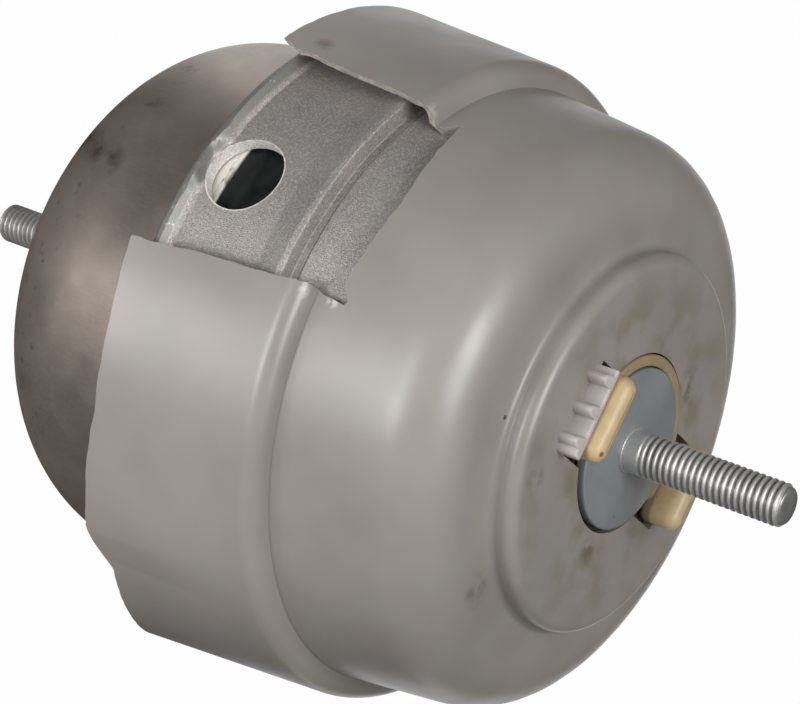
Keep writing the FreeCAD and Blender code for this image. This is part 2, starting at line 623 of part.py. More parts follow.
# Shroud: one moulded cap, a stepped drum over a wider skirt, cut away in a window, and with its
# free edge cut back on the window's side
shroud = new_body("shroud")
solid = revolve(shroud, "outside", [
    (ZERO, S.skirt_z), (S.skirt_r, S.skirt_z), (S.shoulder_r, S.step_z), (S.drum_r, S.step_z),
    (S.drum_top_r, S.face_z), (S.boss_r, S.face_z), (S.boss_r, S.boss_z), (ZERO, S.boss_z)])
rounded = fillet(shroud, "drum_rounding", solid, ring_edge(solid, S.drum_top_r, S.face_z), S.drum_round_fit)
rounded = fillet(shroud, "shoulder_rounding", rounded, ring_edge(rounded, S.shoulder_r, S.step_z), S.shoulder_round)
rounded = fillet(shroud, "boss_rounding", rounded, ring_edge(rounded, S.boss_r, S.boss_z), S.boss_round)
rounded = fillet(shroud, "foot_rounding", rounded, ring_edge(rounded, S.boss_r, S.face_z), S.boss_foot_round)
open_faces = [f"Face{k}" for k, face in enumerate(rounded.Shape.Faces, start=1)
              if abs(face.CenterOfMass.z - S.skirt_z.value) < 0.001]
moulding = shroud.newObject("PartDesign::Thickness", "moulded_wall")
moulding.Base = (rounded, open_faces)
moulding.Value = S.shroud_wall.value
bind(moulding, "Value", S.shroud_wall)
moulding.Reversed = True
check(moulding)
hole_sketch = new_sketch(shroud, "hole_circle", "XY_Plane", lift=S.boss_z)
draw_circle(hole_sketch, S.hole_r)
pocket(shroud, "hole", hole_sketch, S.shroud_wall * 2)
notch_half = S.lug_width / 2 + S.notch_gap
notch_sketch = new_sketch(shroud, "notch_outline", "XY_Plane", lift=S.boss_z)
draw_rectangle(notch_sketch, -S.notch_outer, S.notch_outer, -notch_half, notch_half)
pocket(shroud, "notches", notch_sketch, S.shroud_wall * 2)
fence_sketch = new_sketch(shroud, "fence_outline", "XY_Plane", lift=S.boss_z)
draw_rectangle(fence_sketch, S.notch_outer, S.fence_outer, -S.fence_width / 2, S.fence_width / 2)
pad(shroud, "fence", fence_sketch, S.fence_rise)
ribs_sketch = new_sketch(shroud, "ribs_outline", "XY_Plane", lift=S.boss_z)
half = S.rib_wide / 2
for place in (-1, 0, 1):
    middle = S.rib_pitch * place
    draw_rectangle(ribs_sketch, S.fence_outer - S.press_gap, S.fence_outer + S.rib_deep, middle - half, middle + half)
for side in (-1, 1):
    end = S.fence_width / 2 * side
    inside = (S.fence_width / 2 - half) * side
    low, high = (end, inside) if side < 0 else (inside, end)
    draw_rectangle(ribs_sketch, S.fence_outer - S.press_gap, S.fence_outer + S.end_rib_deep, low, high)
pad(shroud, "ribs", ribs_sketch, S.fence_rise - S.end_rib_deep / 2)
groove(shroud, "window", [
    (S.drum_r - S.shroud_wall * 2, S.skirt_z - S.shroud_wall), (S.skirt_r + S.shroud_wall, S.skirt_z - S.shroud_wall),
    (S.skirt_r + S.shroud_wall, S.step_z + S.window_over), (S.drum_r - S.shroud_wall * 2, S.step_z + S.window_over)],
    angle=S.window_span, turn=S.window_mid)
groove(shroud, "trim", [
    (S.drum_r, S.skirt_z - S.shroud_wall), (S.skirt_r + S.shroud_wall, S.skirt_z - S.shroud_wall),
    (S.skirt_r + S.shroud_wall, S.skirt_z + S.trim_deep), (S.drum_r, S.skirt_z + S.trim_deep)],
    angle=S.trim_span, turn=S.trim_mid)

# Each piece is checked, then written to its own file
doc.recompute()
bodies = [thing for thing in doc.Objects if thing.TypeId == "PartDesign::Body"]
for thing in doc.Objects:
    if {"Invalid", "Error"} & set(thing.State):
        raise RuntimeError(f"{thing.Label}: {thing.State}")
for body in bodies:
    if body.Shape.isNull() or not body.Shape.isValid() or len(body.Shape.Solids) != 1:
        raise RuntimeError(f"{body.Label} is not one valid solid")
for body in bodies:
    body.Shape.exportStep(f"parts/{body.Label}.step")
    print(body.Label, round(body.Shape.Volume / 1000, 2), "cm3")
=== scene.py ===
import math

import bmesh
import bpy
import numpy as np
from mathutils import Matrix, Vector


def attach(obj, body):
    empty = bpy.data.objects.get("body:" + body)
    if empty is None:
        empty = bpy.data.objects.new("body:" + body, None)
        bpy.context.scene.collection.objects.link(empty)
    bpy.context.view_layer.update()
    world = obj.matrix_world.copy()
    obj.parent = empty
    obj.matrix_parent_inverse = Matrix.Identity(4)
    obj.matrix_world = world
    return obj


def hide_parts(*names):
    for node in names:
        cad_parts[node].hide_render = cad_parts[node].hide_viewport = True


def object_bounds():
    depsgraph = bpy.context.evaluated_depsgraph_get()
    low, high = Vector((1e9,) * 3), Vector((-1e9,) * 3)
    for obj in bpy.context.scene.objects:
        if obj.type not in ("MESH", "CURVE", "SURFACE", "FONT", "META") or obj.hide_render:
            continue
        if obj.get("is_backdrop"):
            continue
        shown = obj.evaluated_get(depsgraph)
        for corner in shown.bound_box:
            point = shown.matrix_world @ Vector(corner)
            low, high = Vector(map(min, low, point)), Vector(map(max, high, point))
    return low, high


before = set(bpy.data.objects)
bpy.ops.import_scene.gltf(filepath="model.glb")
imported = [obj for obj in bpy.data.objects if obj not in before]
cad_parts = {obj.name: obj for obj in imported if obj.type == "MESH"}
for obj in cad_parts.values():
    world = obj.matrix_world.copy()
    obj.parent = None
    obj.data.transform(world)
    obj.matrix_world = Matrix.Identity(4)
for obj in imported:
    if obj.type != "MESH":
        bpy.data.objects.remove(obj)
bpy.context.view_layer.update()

# -- Lower stud. A cold-headed steel stud, thread rolled and zinc plated. Its head
# is pressed into the cup from inside, and its shank hangs below the seat.
# All shapes here are worked out in millimetres, in the part's own frame: +Z
# runs along the studs from the cup to the shroud's end face.
MM = 0.001
FULL_TURN = 2 * math.pi


def around(count):
    """Evenly spaced angles of one full turn, the first not repeated."""
    return np.arange(count) / count * FULL_TURN


def outline(corners, bend=6, step=None):
    """Points of a line through corners (across, up, rounding). A rounded corner becomes the arc
    tangent to both of its sides, drawn with bend + 1 points. step divides long straight runs."""
    place = np.array([corner[:2] for corner in corners], float)
    points = [place[:1]]
    for k in range(1, len(corners) - 1):
        rounding = corners[k][2] if len(corners[k]) > 2 else 0
        if not rounding:
            points.append(place[k:k + 1])
            continue
        back = (place[k - 1] - place[k]) / np.linalg.norm(place[k - 1] - place[k])
        ahead = (place[k + 1] - place[k]) / np.linalg.norm(place[k + 1] - place[k])
        opening = math.acos(np.clip(back @ ahead, -1, 1))
        middle = back + ahead
        centre = place[k] + middle / np.linalg.norm(middle) * rounding / math.sin(opening / 2)
        start = place[k] + back * rounding / math.tan(opening / 2) - centre
        end = place[k] + ahead * rounding / math.tan(opening / 2) - centre
        share = np.linspace(0, 1, bend + 1)[:, None] * (math.pi - opening)
        sweep = math.sin(math.pi - opening)
        turn = (np.sin(math.pi - opening - share) * start + np.sin(share) * end) / sweep
        points.append(centre + turn)
    points.append(place[-1:])
    line = np.concatenate(points)
    if step is None:
        return line
    runs = []
    for start, end in zip(line[:-1], line[1:]):
        parts = max(1, math.ceil(np.linalg.norm(end - start) / step))
        runs.append(start + (end - start) * (np.arange(parts) / parts)[:, None])
    return np.concatenate(runs + [line[-1:]])


def swept(radius, angles, height):
    """Points from their distances to the axis, angles round it and heights."""
    return np.stack(np.broadcast_arrays(radius * np.cos(angles), radius * np.sin(angles), height), -1)


def turned(line, angles):
    """A surface of revolution: one row for each point (radius, height), one column for each angle."""
    return swept(line[:, :1], angles, line[:, 1:])


def quads(rows, columns, closed=True, first=0):
    """The faces of a grid of points, as four indices each; closed joins the last column to the first."""
    row, column = np.meshgrid(np.arange(rows - 1), np.arange(columns if closed else columns - 1), indexing="ij")
    here = first + row * columns + column
    beside = first + row * columns + (column + 1) % columns
    return np.stack([here, beside, beside + columns, here + columns], -1).reshape(-1, 4)


def in_scene(name, data):
    """A new object in the scene, holding a mesh, a lamp or the camera."""
    made = bpy.data.objects.new(name, data)
    bpy.context.scene.collection.objects.link(made)
    return made


def solid(name, grids, loose_faces=None, sharp=35):
    """One closed mesh of grids (points in mm, closed or not). Doubles are merged, faces turned
    outwards, and edges that bend more than sharp degrees stay crisp."""
    points, faces, first = [], [], 0
    for grid, closed in grids:
        points.append(grid.reshape(-1, 3))
        if grid.ndim == 3:
            faces.append(quads(*grid.shape[:2], closed, first))
        first += len(points[-1])
    if loose_faces is not None:
        faces.append(loose_faces)
    mesh = bpy.data.meshes.new(name)
    mesh.from_pydata((np.concatenate(points) * MM).tolist(), [], np.concatenate(faces).tolist())
    work = bmesh.new()
    work.from_mesh(mesh)
    bmesh.ops.remove_doubles(work, verts=work.verts, dist=0.002 * MM)
    bmesh.ops.dissolve_degenerate(work, edges=work.edges, dist=0.001 * MM)
    bmesh.ops.recalc_face_normals(work, faces=work.faces)
    work.to_mesh(mesh)
    work.free()
    mesh.polygons.foreach_set("use_smooth", [True] * len(mesh.polygons))
    mesh.set_sharp_from_angle(angle=math.radians(sharp))
    return in_scene(name, mesh)


def soften(piece, width_mm):
    """Breaks a piece's crisp edges."""
    edge = piece.modifiers.new("soft_edges", "BEVEL")
    edge.width, edge.segments, edge.limit_method, edge.angle_limit = width_mm * MM, 2, "ANGLE", math.radians(50)


def place(piece, node_name, slot_name, finish):
    """Fixes a piece on the mount's one body, in the stead of its CAD node, with its material; slot_name is not used."""
    piece.data.materials.append(finish)
    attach(piece, "root")
    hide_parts(node_name)


def linear(code):
    """A linear colour with alpha from an sRGB hex code."""
    parts = [int(code[k:k + 2], 16) / 255 for k in (0, 2, 4)]
    return [p / 12.92 if p <= 0.04045 else ((p + 0.055) / 1.055) ** 2.4 for p in parts] + [1.0]


def add(tree, kind, inputs=None, **settings):
    """Adds a shader node, sets its properties, and fills its inputs with values or other nodes' outputs."""
    made = tree.nodes.new("ShaderNode" + kind)
    for setting, value in settings.items():
        setattr(made, setting, value)
    for key, value in (inputs or {}).items():
        if isinstance(value, bpy.types.NodeSocket):
            tree.links.new(value, made.inputs[key])
        else:
            made.inputs[key].default_value = value
    return made


def finish(name, **shader_values):
    """A new material with one Principled shader; returns it, its tree, the shader and object coordinates."""
    made = bpy.data.materials.new(name)
    made.use_nodes = True
    tree = made.node_tree
    shader = tree.nodes["Principled BSDF"]
    for key, value in shader_values.items():
        shader.inputs[key.replace("_", " ")].default_value = value
    return made, tree, shader, tree.nodes.new("ShaderNodeTexCoord").outputs["Object"]


def per(size_mm):
    """A pattern's scale for features of that size in millimetres, on coordinates in metres."""
    return 1000 / size_mm


def noise(coords, size_mm, detail=3.0, **inputs):
    """Soft noise whose features are size_mm wide. Like the helpers below, it works in its socket's tree."""
    return add(coords.id_data, "TexNoise", {
        "Vector": coords, "Scale": per(size_mm), "Detail": detail, **inputs}).outputs["Fac"]


def ramp(value, low, high, dark=0.0, light=1.0):
    """Maps a value from low..high to dark..light, held at both ends."""
    return add(value.id_data, "MapRange", {"Value": value, "From Min": low, "From Max": high,
                                           "To Min": dark, "To Max": light}).outputs["Result"]


def blend(share, under, over):
    """Mixes two colours by a share. Each is a node's output or an sRGB hex code."""
    made = add((under if isinstance(share, float) else share).id_data, "Mix", data_type="RGBA")
    for socket, value in (("Factor_Float", share), ("A_Color", under), ("B_Color", over)):
        target = next(s for s in made.inputs if s.identifier == socket)
        if isinstance(value, bpy.types.NodeSocket):
            value.id_data.links.new(value, target)
        else:
            target.default_value = linear(value) if isinstance(value, str) else value
    return next(s for s in made.outputs if s.identifier == "Result_Color")


def paint(shader, **channels):
    """Feeds nodes' outputs to the shader's inputs of those names."""
    for key, value in channels.items():
        value.id_data.links.new(value, shader.inputs[key.replace("_", " ")])


def bumps(shader, height, depth_mm, strength=1.0, under=None):
    """Raises the surface by a height pattern, depth_mm at its highest; under is a normal to build on."""
    inputs = {"Height": height, "Distance": depth_mm * MM, "Strength": strength}
    if under is not None:
        inputs["Normal"] = under
    normal = add(height.id_data, "Bump", inputs).outputs["Normal"]
    paint(shader, Normal=normal)
    return normal


def math_of(operation, one, other):
    """Two values joined by one sum: ADD, MAXIMUM and the like."""
    return add(one.id_data, "Math", {0: one, 1: other}, operation=operation).outputs[0]


def times(one, other):
    """The product of two values, such as a mask within a mask."""
    return math_of("MULTIPLY", one, other)


def vectors(operation, one, other=None, result=0):
    """One vector sum, and which of its outputs: 0 for a vector, "Value" for a number."""
    inputs = {0: one} if other is None else {0: one, 1: other}
    return add(one.id_data, "VectorMath", inputs, operation=operation).outputs[result]


def z_of(vector):
    """A vector's upward part."""
    return add(vector.id_data, "SeparateXYZ", {"Vector": vector}).outputs["Z"]


def from_axis(coords):
    """The level way from the studs' axis to a place, and its length."""
    radial = vectors("MULTIPLY", coords, (1, 1, 0))
    return radial, vectors("LENGTH", radial, result="Value")


def polar(radius, degrees, height):
    """A point in mm from its distance to the axis, its angle from the lug and its height."""
    return np.array([radius * math.cos(math.radians(degrees)), radius * math.sin(math.radians(degrees)), height])


def streak(coords, start, end, width_mm, soft=0.6):
    """1 on a straight scratch between two points in mm, fading to 0 at width_mm from it."""
    run = float(np.linalg.norm(end - start))
    way = tuple((end - start) / run)
    away = vectors("SUBTRACT", coords, tuple(start * MM))
    along = vectors("DOT_PRODUCT", away, way, "Value")
    along = add(coords.id_data, "Clamp", {"Value": along, "Min": 0.0, "Max": run * MM}).outputs[0]
    nearest = add(coords.id_data, "VectorMath", {0: way, "Scale": along}, operation="SCALE").outputs[0]
    return ramp(vectors("DISTANCE", away, nearest, "Value"), width_mm * (1 - soft) * MM, width_mm * MM, 1.0, 0.0)


def spot(coords, centre, radius_mm, soft=0.5):
    """1 at a point in mm, fading to 0 at radius_mm from it."""
    off = vectors("DISTANCE", coords, tuple(centre * MM), "Value")
    return ramp(off, radius_mm * (1 - soft) * MM, radius_mm * MM, 1.0, 0.0)


def most(masks):
    """The highest of several masks."""
    high = masks[0]
    for mask in masks[1:]:
        high = math_of("MAXIMUM", high, mask)
    return high


stud_radius = 4.0
thread_pitch = 1.25
thread_depth = 0.72
crest_inset = 0.06
rows_per_pitch = 10
stud_chamfer = 0.9
lower_reach, lower_plain, lower_foot_z = 38.5, 2.4, -0.3
knurl_radius, knurl_hole = 4.9, 4.95
head_radius, head_height = 9.5, 4.0
cup_sheet = 2.0
stud_columns = 56
dish_radius, dish_rim_depth, dish_depth = 1.6, 0.12, 0.15


def stud_shank(length, plain, base_z, way):
    """A stud's outer surface from a foot at base_z, way 1 upward and -1 downward: a plain length,
    then a rolled thread. The radius swings between crest and root once for each pitch and turn,
    and a chamfer ends it."""
    along = np.arange(0, length + 1e-6, thread_pitch / rows_per_pitch)
    along = np.append(along[along < length - 0.02], length)[:, None]
    angles = around(stud_columns)
    phase = (along / thread_pitch - angles / FULL_TURN) * FULL_TURN
    wave = 0.5 + 0.5 * np.cos(phase)
    rolled = 1 - (1 - wave) ** 1.5
    run_out = np.clip((along - plain) / thread_pitch, 0, 1)
    radius = stud_radius - crest_inset - thread_depth * (1 - rolled) * run_out
    radius = np.minimum(radius, stud_radius - stud_chamfer + (length - along) * 1.0)
    return swept(radius, angles * way, base_z + way * along)


def stud_tip(tip_z, way):
    """The stud's slightly dished end."""
    return turned(np.array([(stud_radius - stud_chamfer, tip_z), (dish_radius, tip_z - way * dish_rim_depth),
                            (0, tip_z - way * dish_depth)]), way * around(stud_columns))


def stud(name, head, shank, tip):
    """A whole stud: a turned head or foot, the threaded shank and the dished end."""
    return solid(name, [(np.concatenate([head[:-1], shank, tip[1:]]), True)], sharp=50)


shank = stud_shank(lower_reach, lower_plain, lower_foot_z, -1)
shank[..., 2] = np.maximum(shank[..., 2], -lower_reach)
crest_radius = stud_radius - crest_inset
head = turned(outline([
    (0, cup_sheet + head_height), (head_radius, cup_sheet + head_height, 0.8), (head_radius, cup_sheet, 0.5),
    (knurl_radius, cup_sheet), (knurl_radius, 0), (crest_radius, 0), (crest_radius, lower_foot_z)]),
    -around(stud_columns))
lower_stud = stud("lower_stud_threaded", head, shank, stud_tip(-lower_reach, -1))

# Zinc plate on rolled steel: light grey metal, fine grain, and painted shade in the thread's roots
zinc, tree, shader, coords = finish("zinc_plated_rolled_steel", Metallic=0.7, Roughness=0.4)
grain = noise(coords, 0.3, 4, Roughness=0.65)
shade = blend(ramp(noise(coords, 5, 2), 0.35, 0.65), "C6C6C4", "DEDDDA")
shade = blend(ramp(grain, 0.42, 0.7, 0, 0.4), shade, "F2F1EE")
reach = from_axis(coords)[1]
# Painted shade: the thread's roots, nearer the axis, are coloured darker
shade = blend(ramp(reach, 3.25 * MM, 3.7 * MM, 0.55, 0), shade, "6A6967")
paint(shader, Base_Color=shade, Roughness=ramp(grain, 0.3, 0.7, 0.34, 0.5))
bumps(shader, grain, 0.07, 0.7)
place(lower_stud, "lower_stud", "zinc_stud", zinc)

# -- Lower cup. Deep-drawn sheet, the mount's lower shell: a flat seat, a large
# drawn corner and a flange that the housing's lip is rolled over.
cup_seat_radius, cup_rim_radius, cup_corner = 50.8, 52.1, 24.0
cup_flange_radius = 55.5
flange_z = 47.1
cup_columns = 240
outer_wall = outline([(knurl_hole, 0), (cup_seat_radius, 0, cup_corner), (cup_rim_radius, flange_z, 0.8),
                      (cup_flange_radius, flange_z), (cup_flange_radius, flange_z + cup_sheet)], bend=22, step=2.5)
inner_wall = outline([(cup_flange_radius, flange_z + cup_sheet), (cup_rim_radius - cup_sheet, flange_z + cup_sheet, 1),
                      (cup_seat_radius - cup_sheet, cup_sheet, cup_corner - cup_sheet),
                      (knurl_hole, cup_sheet), (knurl_hole, 0)], bend=10, step=6)
cup = solid("lower_cup_drawn", [(turned(np.concatenate([outer_wall, inner_wall[1:]]), around(cup_columns)), True)])

# Deep-drawn sheet: satin metal with a warm cast. Drawing leaves fine lines along the side and
# soft bands of rubbed and duller metal; a few bright scratches and grimy marks cross them
drawn, tree, shader, coords = finish("deep_drawn_satin_sheet", Metallic=0.75, Roughness=0.36)
stretched = add(tree, "Mapping", {"Vector": coords, "Scale": (1, 1, 0.3)}).outputs["Vector"]
lines = noise(stretched, 0.45, 4)
patches = noise(coords, 24, 3)
clouds = noise(coords, 7, 5, Roughness=0.6)
shade = blend(ramp(patches, 0.35, 0.65), "A3978E", "BAADA3")
shade = blend(ramp(clouds, 0.42, 0.7, 0, 0.2), shade, "BFB3AA")
shade = blend(ramp(lines, 0.45, 0.75, 0, 0.18), shade, "D0C8C0")
dirt = ramp(noise(coords, 3.2, 6, Roughness=0.65), 0.58, 0.7, 0, 0.7)
height = z_of(coords)
near_corner = times(ramp(height, 1 * MM, 9 * MM), ramp(height, 14 * MM, 26 * MM, 1, 0))
shade = blend(times(dirt, near_corner), shade, "4A4038")
grime = streak(coords, polar(44.5, -15, 8), polar(50.4, -8, 21), 4.0, 0.9)
shade = blend(times(grime, ramp(clouds, 0.4, 0.55)), shade, "5A4C43")
scratches = most([streak(coords, polar(*start), polar(*end), width) for start, end, width in (
    ((51.2, 3.6, 29.5), (51.3, 4.8, 35.0), 0.35), ((51.1, 28.6, 30.0), (51.2, 33.2, 34.0), 0.3),
    ((50.8, 33.6, 20.6), (50.9, 35.8, 24.2), 0.3), ((51.3, 41.0, 36.0), (51.4, 44.0, 41.0), 0.25))])
shade = blend(scratches, shade, "F2EEE8")
reach = from_axis(coords)[1]

# Painted light: the flange's rolled edge, which shows through the housing's hole beside the rubber, is coloured near
# white and made less metallic so that it shows bright in the bore's shade
rolled = times(ramp(reach, 54.0 * MM, 54.3 * MM), ramp(height, (flange_z - 0.2) * MM, flange_z * MM))
shade = blend(rolled, shade, "EFEAE3")
paint(shader, Base_Color=shade, Metallic=ramp(rolled, 0, 1, 0.75, 0.2),
      Roughness=ramp(clouds, 0.3, 0.7, 0.34, 0.46))
skin = bumps(shader, clouds, 0.12, 0.25)
bumps(shader, lines, 0.012, 0.3, under=skin)
place(cup, "lower_cup", "drawn_cup", drawn)

# -- Inner pieces that only show when the mount is cut open: the diaphragm and
# its steel ring, the cast channel plates, the loose membrane, core, stop
# plate and bump buffer. They keep their CAD shapes and get real finishes.
cast, tree, shader, coords = finish("die_cast_channel_aluminium", Metallic=1.0, Roughness=0.45)
paint(shader, Base_Color=blend(noise(coords, 2.5, 4), "8F8F8E", "C2C1BE"))
bumps(shader, noise(coords, 0.6, 3), 0.05)

pressed, tree, shader, coords = finish("pressed_mild_steel", Metallic=1.0, Roughness=0.4)
paint(shader, Base_Color=blend(noise(coords, 4, 4), "6F6E6C", "93918D"))
bumps(shader, noise(coords, 1.2, 4), 0.02)

rubber, tree, shader, coords = finish("moulded_natural_rubber", Roughness=0.55)
shader.inputs["Specular IOR Level"].default_value = 0.3
bloom = noise(coords, 3, 4)
paint(shader, Base_Color=blend(ramp(bloom, 0.3, 0.75), "121414", "1F2323"),
      Roughness=ramp(bloom, 0.3, 0.7, 0.45, 0.62))
bumps(shader, noise(coords, 0.5, 3), 0.02, 0.5)

for node_name, slot_name, material in (
        ("diaphragm_ring", "inner_steel", pressed), ("stop_plate", "inner_steel", pressed),
        ("track_plate_lower", "channel_metal", cast), ("track_plate_upper", "channel_metal", cast),
        ("inner_core", "core_metal", cast), ("diaphragm", "black_rubber", rubber),
        ("decoupler_membrane", "black_rubber", rubber), ("bump_buffer", "black_rubber", rubber)):
    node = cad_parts[node_name]
    node.data.materials.clear()
    node.data.materials.append(material)

# -- Support ring. A bright steel ring pressed into the housing's bore, stepped so
# that the spring's rubber wraps it. Its rim, with one notch, shows in the hole,
# coloured near white as painted light.
ring_bore, ring_outer, ring_step_radius, ring_inner = 53.1, 55.5, 53.9, 49.3
ring_foot_z, ring_rim_z, ring_shelf_z, ring_top_z = 49.1, 50.0, 53.3, 55.7
notch_direction, notch_width, notch_depth = math.radians(-11.0), 2.4, 0.85
ring_columns = 360
profile = outline([
    (ring_bore, ring_foot_z + 0.5), (ring_bore, ring_foot_z, 0.1), (ring_outer, ring_foot_z, 0.15),
    (ring_outer, ring_rim_z, 0.15), (ring_step_radius, ring_rim_z), (ring_step_radius, ring_top_z, 0.4),
    (ring_inner, ring_top_z, 0.4), (ring_inner, ring_shelf_z, 0.2), (ring_bore, ring_shelf_z, 0.3),
    (ring_bore, ring_foot_z + 0.5)], bend=4)
grid = turned(profile, around(ring_columns))
off = (around(ring_columns) - notch_direction + math.pi) % FULL_TURN - math.pi
dent = np.clip((notch_width / 2 + 0.5 - np.abs(off) * ring_outer) / 0.5, 0, 1)
rim = ((profile[:, 0] > ring_step_radius + 0.2) & (profile[:, 1] > ring_foot_z + 0.5))[:, None]
grid[..., 2] -= np.where(rim, dent * notch_depth, 0)
ring = solid("support_ring_pressed", [(grid, True)])
# Painted light: the steel ring is coloured near white and made barely metallic, so that it shows bright in the shade of
# the housing's hole
bright, tree, shader, coords = finish("drawn_steel_painted_light", Metallic=0.25, Roughness=0.45)
smear = noise(coords, 2.2, 5)
shade = blend(ramp(smear, 0.35, 0.7), "E6E1D9", "FAF7F2")
paint(shader, Base_Color=shade)
bumps(shader, smear, 0.03, 0.6)
place(ring, "support_ring", "bright_ring", bright)

# -- Main spring. A moulded rubber cone that carries the load, bonded to the core
# and to the support ring. Its foot shows in the round hole as black rubber.
bond_gap, foot_gap = 0.05, 0.03
spring_foot, spring_foot_top_z, spring_wall, spring_wall_z, spring_edge_z = 55.2, 53.0, 54.2, 54.0, 67.7
spring_waist, spring_waist_z, spring_neck, spring_top_z = 38.8, 84.0, 25.0, 95.0
spring_bore, spring_bore_z, core_side, core_side_z, core_end, core_end_z = 17.56, 88.5, 25.06, 81.0, 13.06, 70.0
bonded, spring_foot_z = ring_step_radius + bond_gap, ring_rim_z + foot_gap
profile = outline([
    (bonded, spring_foot_z), (spring_foot, spring_foot_z, 0.4), (spring_foot, spring_foot_top_z, 0.7),
    (spring_wall, spring_wall_z, 0.6), (spring_wall, spring_edge_z, 1.0), (ring_inner, spring_edge_z, 2.0),
    (spring_waist, spring_waist_z, 18), (spring_neck, spring_top_z, 3.0), (spring_bore, spring_top_z),
    (spring_bore, spring_bore_z), (core_side, core_side_z, 0.5), (core_end, core_end_z),
    (ring_inner, ring_top_z + bond_gap), (bonded, ring_top_z + bond_gap), (bonded, spring_foot_z)], bend=5)
spring = solid("main_spring_moulded", [(turned(profile, around(180)), True)])
place(spring, "main_spring", "black_rubber", rubber)

# -- Core plate. A stamped disc on the core's end, the face that the engine
# bracket is clamped to. Dull blue-grey plating with a few handling marks.
core_face_z = 114.0
core_plate_radius, core_plate_thick = 14.9, 2.0
profile = outline([
    (stud_radius, core_face_z - 1), (stud_radius, core_face_z, 0.1), (core_plate_radius, core_face_z, 0.35),
    (core_plate_radius, core_face_z - core_plate_thick, 0.3), (stud_radius, core_face_z - core_plate_thick, 0.1),
    (stud_radius, core_face_z - 1)], bend=4, step=2.0)
disc = solid("core_plate_stamped", [(turned(profile, around(120)), True)])
plated, tree, shader, coords = finish("dull_zinc_nickel_plate", Metallic=0.4, Roughness=0.5)
cloud = noise(coords, 9, 3)
speck = add(tree, "TexVoronoi", {"Vector": coords, "Scale": per(4.5), "Randomness": 1.0}).outputs["Distance"]
speck = ramp(speck, 0.05, 0.1, 0.55, 0.0)
shade = blend(ramp(cloud, 0.35, 0.65), "979DA0", "A5AAAC")
shade = blend(speck, shade, "43443F")
paint(shader, Base_Color=shade)
bumps(shader, noise(coords, 0.8, 4), 0.015, 0.5)
place(disc, "core_plate", "plated_disc", plated)

# -- Upper stud. The same rolled and plated stud, knurled where it is pressed
# into the core. A bright rim is left where its plain foot meets the disc.
upper_reach, upper_plain, upper_bite = 31.4, 2.6, 24.0
rim_height, rim_width, rim_round, rim_sunk = 0.45, 0.2, 0.12, 0.4
upper_foot_z = core_face_z - core_plate_thick - upper_bite
rim_z = core_face_z + rim_height
foot = turned(outline([
    (0, upper_foot_z), (knurl_radius, upper_foot_z, 0.6), (knurl_radius, core_face_z - 0.5),
    (stud_radius + rim_width, core_face_z - rim_sunk), (stud_radius + rim_width, rim_z, rim_round),
    (crest_radius, rim_z)]), around(stud_columns))
shank = stud_shank(upper_reach - rim_height, upper_plain, rim_z, 1)
upper_stud = stud("upper_stud_threaded", foot, shank, stud_tip(core_face_z + upper_reach, 1))
place(upper_stud, "upper_stud", "zinc_stud", zinc)

# -- Guard ring. Cream nylon moulding with a flange under the shroud, a low ring
# in its hole, and two lugs with rounded tops that stand through the notches.
guard_bore, guard_outer, guard_flange = 15.8, 17.2, 27.1
guard_neck = 14.0
boss_z, shroud_wall = 113.2, 1.7
boss_under_z = boss_z - shroud_wall
guard_top_z = core_face_z - 0.9
guard_flange_thick = 2.7
lug_inner, lug_thick, lug_width = 16.5, 4.8, 16.0
lug_top_z = core_face_z + 5.6
lug_round = 2.35
sunk_from, sunk_to, sunk_fade = 18, 168, 12
ring_proud, ring_sinks, bore_closes = 0.5, 2.6, 0.045
profile = outline([
    (guard_neck, boss_under_z - 1), (guard_neck, boss_under_z - guard_flange_thick, 0.2),
    (guard_flange, boss_under_z - guard_flange_thick, 0.5), (guard_flange, boss_under_z, 0.5),
    (guard_outer, boss_under_z, 0.3), (guard_outer, guard_top_z, 0.45), (guard_bore, guard_top_z, 0.45),
    (guard_bore, boss_under_z, 0.3), (guard_neck, boss_under_z, 0.2), (guard_neck, boss_under_z - 1)],
    bend=4, step=3.0)
collar = turned(profile, around(160))


def sunken(degrees):
    """1 on the side away from the shroud's window, fading to 0 by each lug. There the ring has sunk
    into a dark gap and the shroud's hole is drawn in; on the other side the ring lies proud."""
    return np.clip((degrees - sunk_from) / sunk_fade, 0, 1) * np.clip((sunk_to - degrees) / sunk_fade, 0, 1)


sunk = sunken(np.degrees(around(160)))
high = (profile[:, 1] > boss_under_z + 0.7)[:, None]
collar[..., 2] += np.where(high, ring_proud - sunk * ring_sinks, 0)
bore_side = high & (profile[:, 0] < guard_bore + 0.5)[:, None]
collar[..., :2] *= np.where(bore_side, 1 - bore_closes * (1 - sunk), 1)[..., None]


def rounded_block(low, high, rounding, count=10):
    """A block with rounded edges: a unit sphere's grid is pushed out from the block's inner corners,
    so each octant becomes one rounded corner and the seams between them stretch into flat sides."""
    low, high = np.array(low, float), np.array(high, float)
    rise = np.concatenate([np.linspace(-90, 0, count), np.linspace(0, 90, count)])
    swing = np.concatenate([np.linspace(k * 90, k * 90 + 90, count) for k in range(4)])
    side = np.repeat([[1, 1], [-1, 1], [-1, -1], [1, -1]], count, axis=0)
    level = np.repeat([-1, 1], count)
    rise, swing = np.radians(rise)[:, None], np.radians(swing)[None]
    unit = np.stack([np.cos(rise) * np.cos(swing), np.cos(rise) * np.sin(swing), np.sin(rise) + 0 * swing], -1)
    signs = np.stack(np.broadcast_arrays(side[:, 0], side[:, 1], level[:, None]), -1)
    middle, half = (low + high) / 2, (high - low) / 2
    return middle + signs * (half - rounding) + unit * rounding


def worn(block, amount, seed):
    """Softens a moulded block with slow waves, as hand filed or heat-sunk plastic has."""
    wave = np.sin(block[..., 1:2] * 0.9 + seed) * np.cos(block[..., 2:3] * 0.7 + seed * 2)
    middle = block.reshape(-1, 3).mean(0)
    return middle + (block - middle) * (1 - amount * (0.5 + 0.5 * wave))


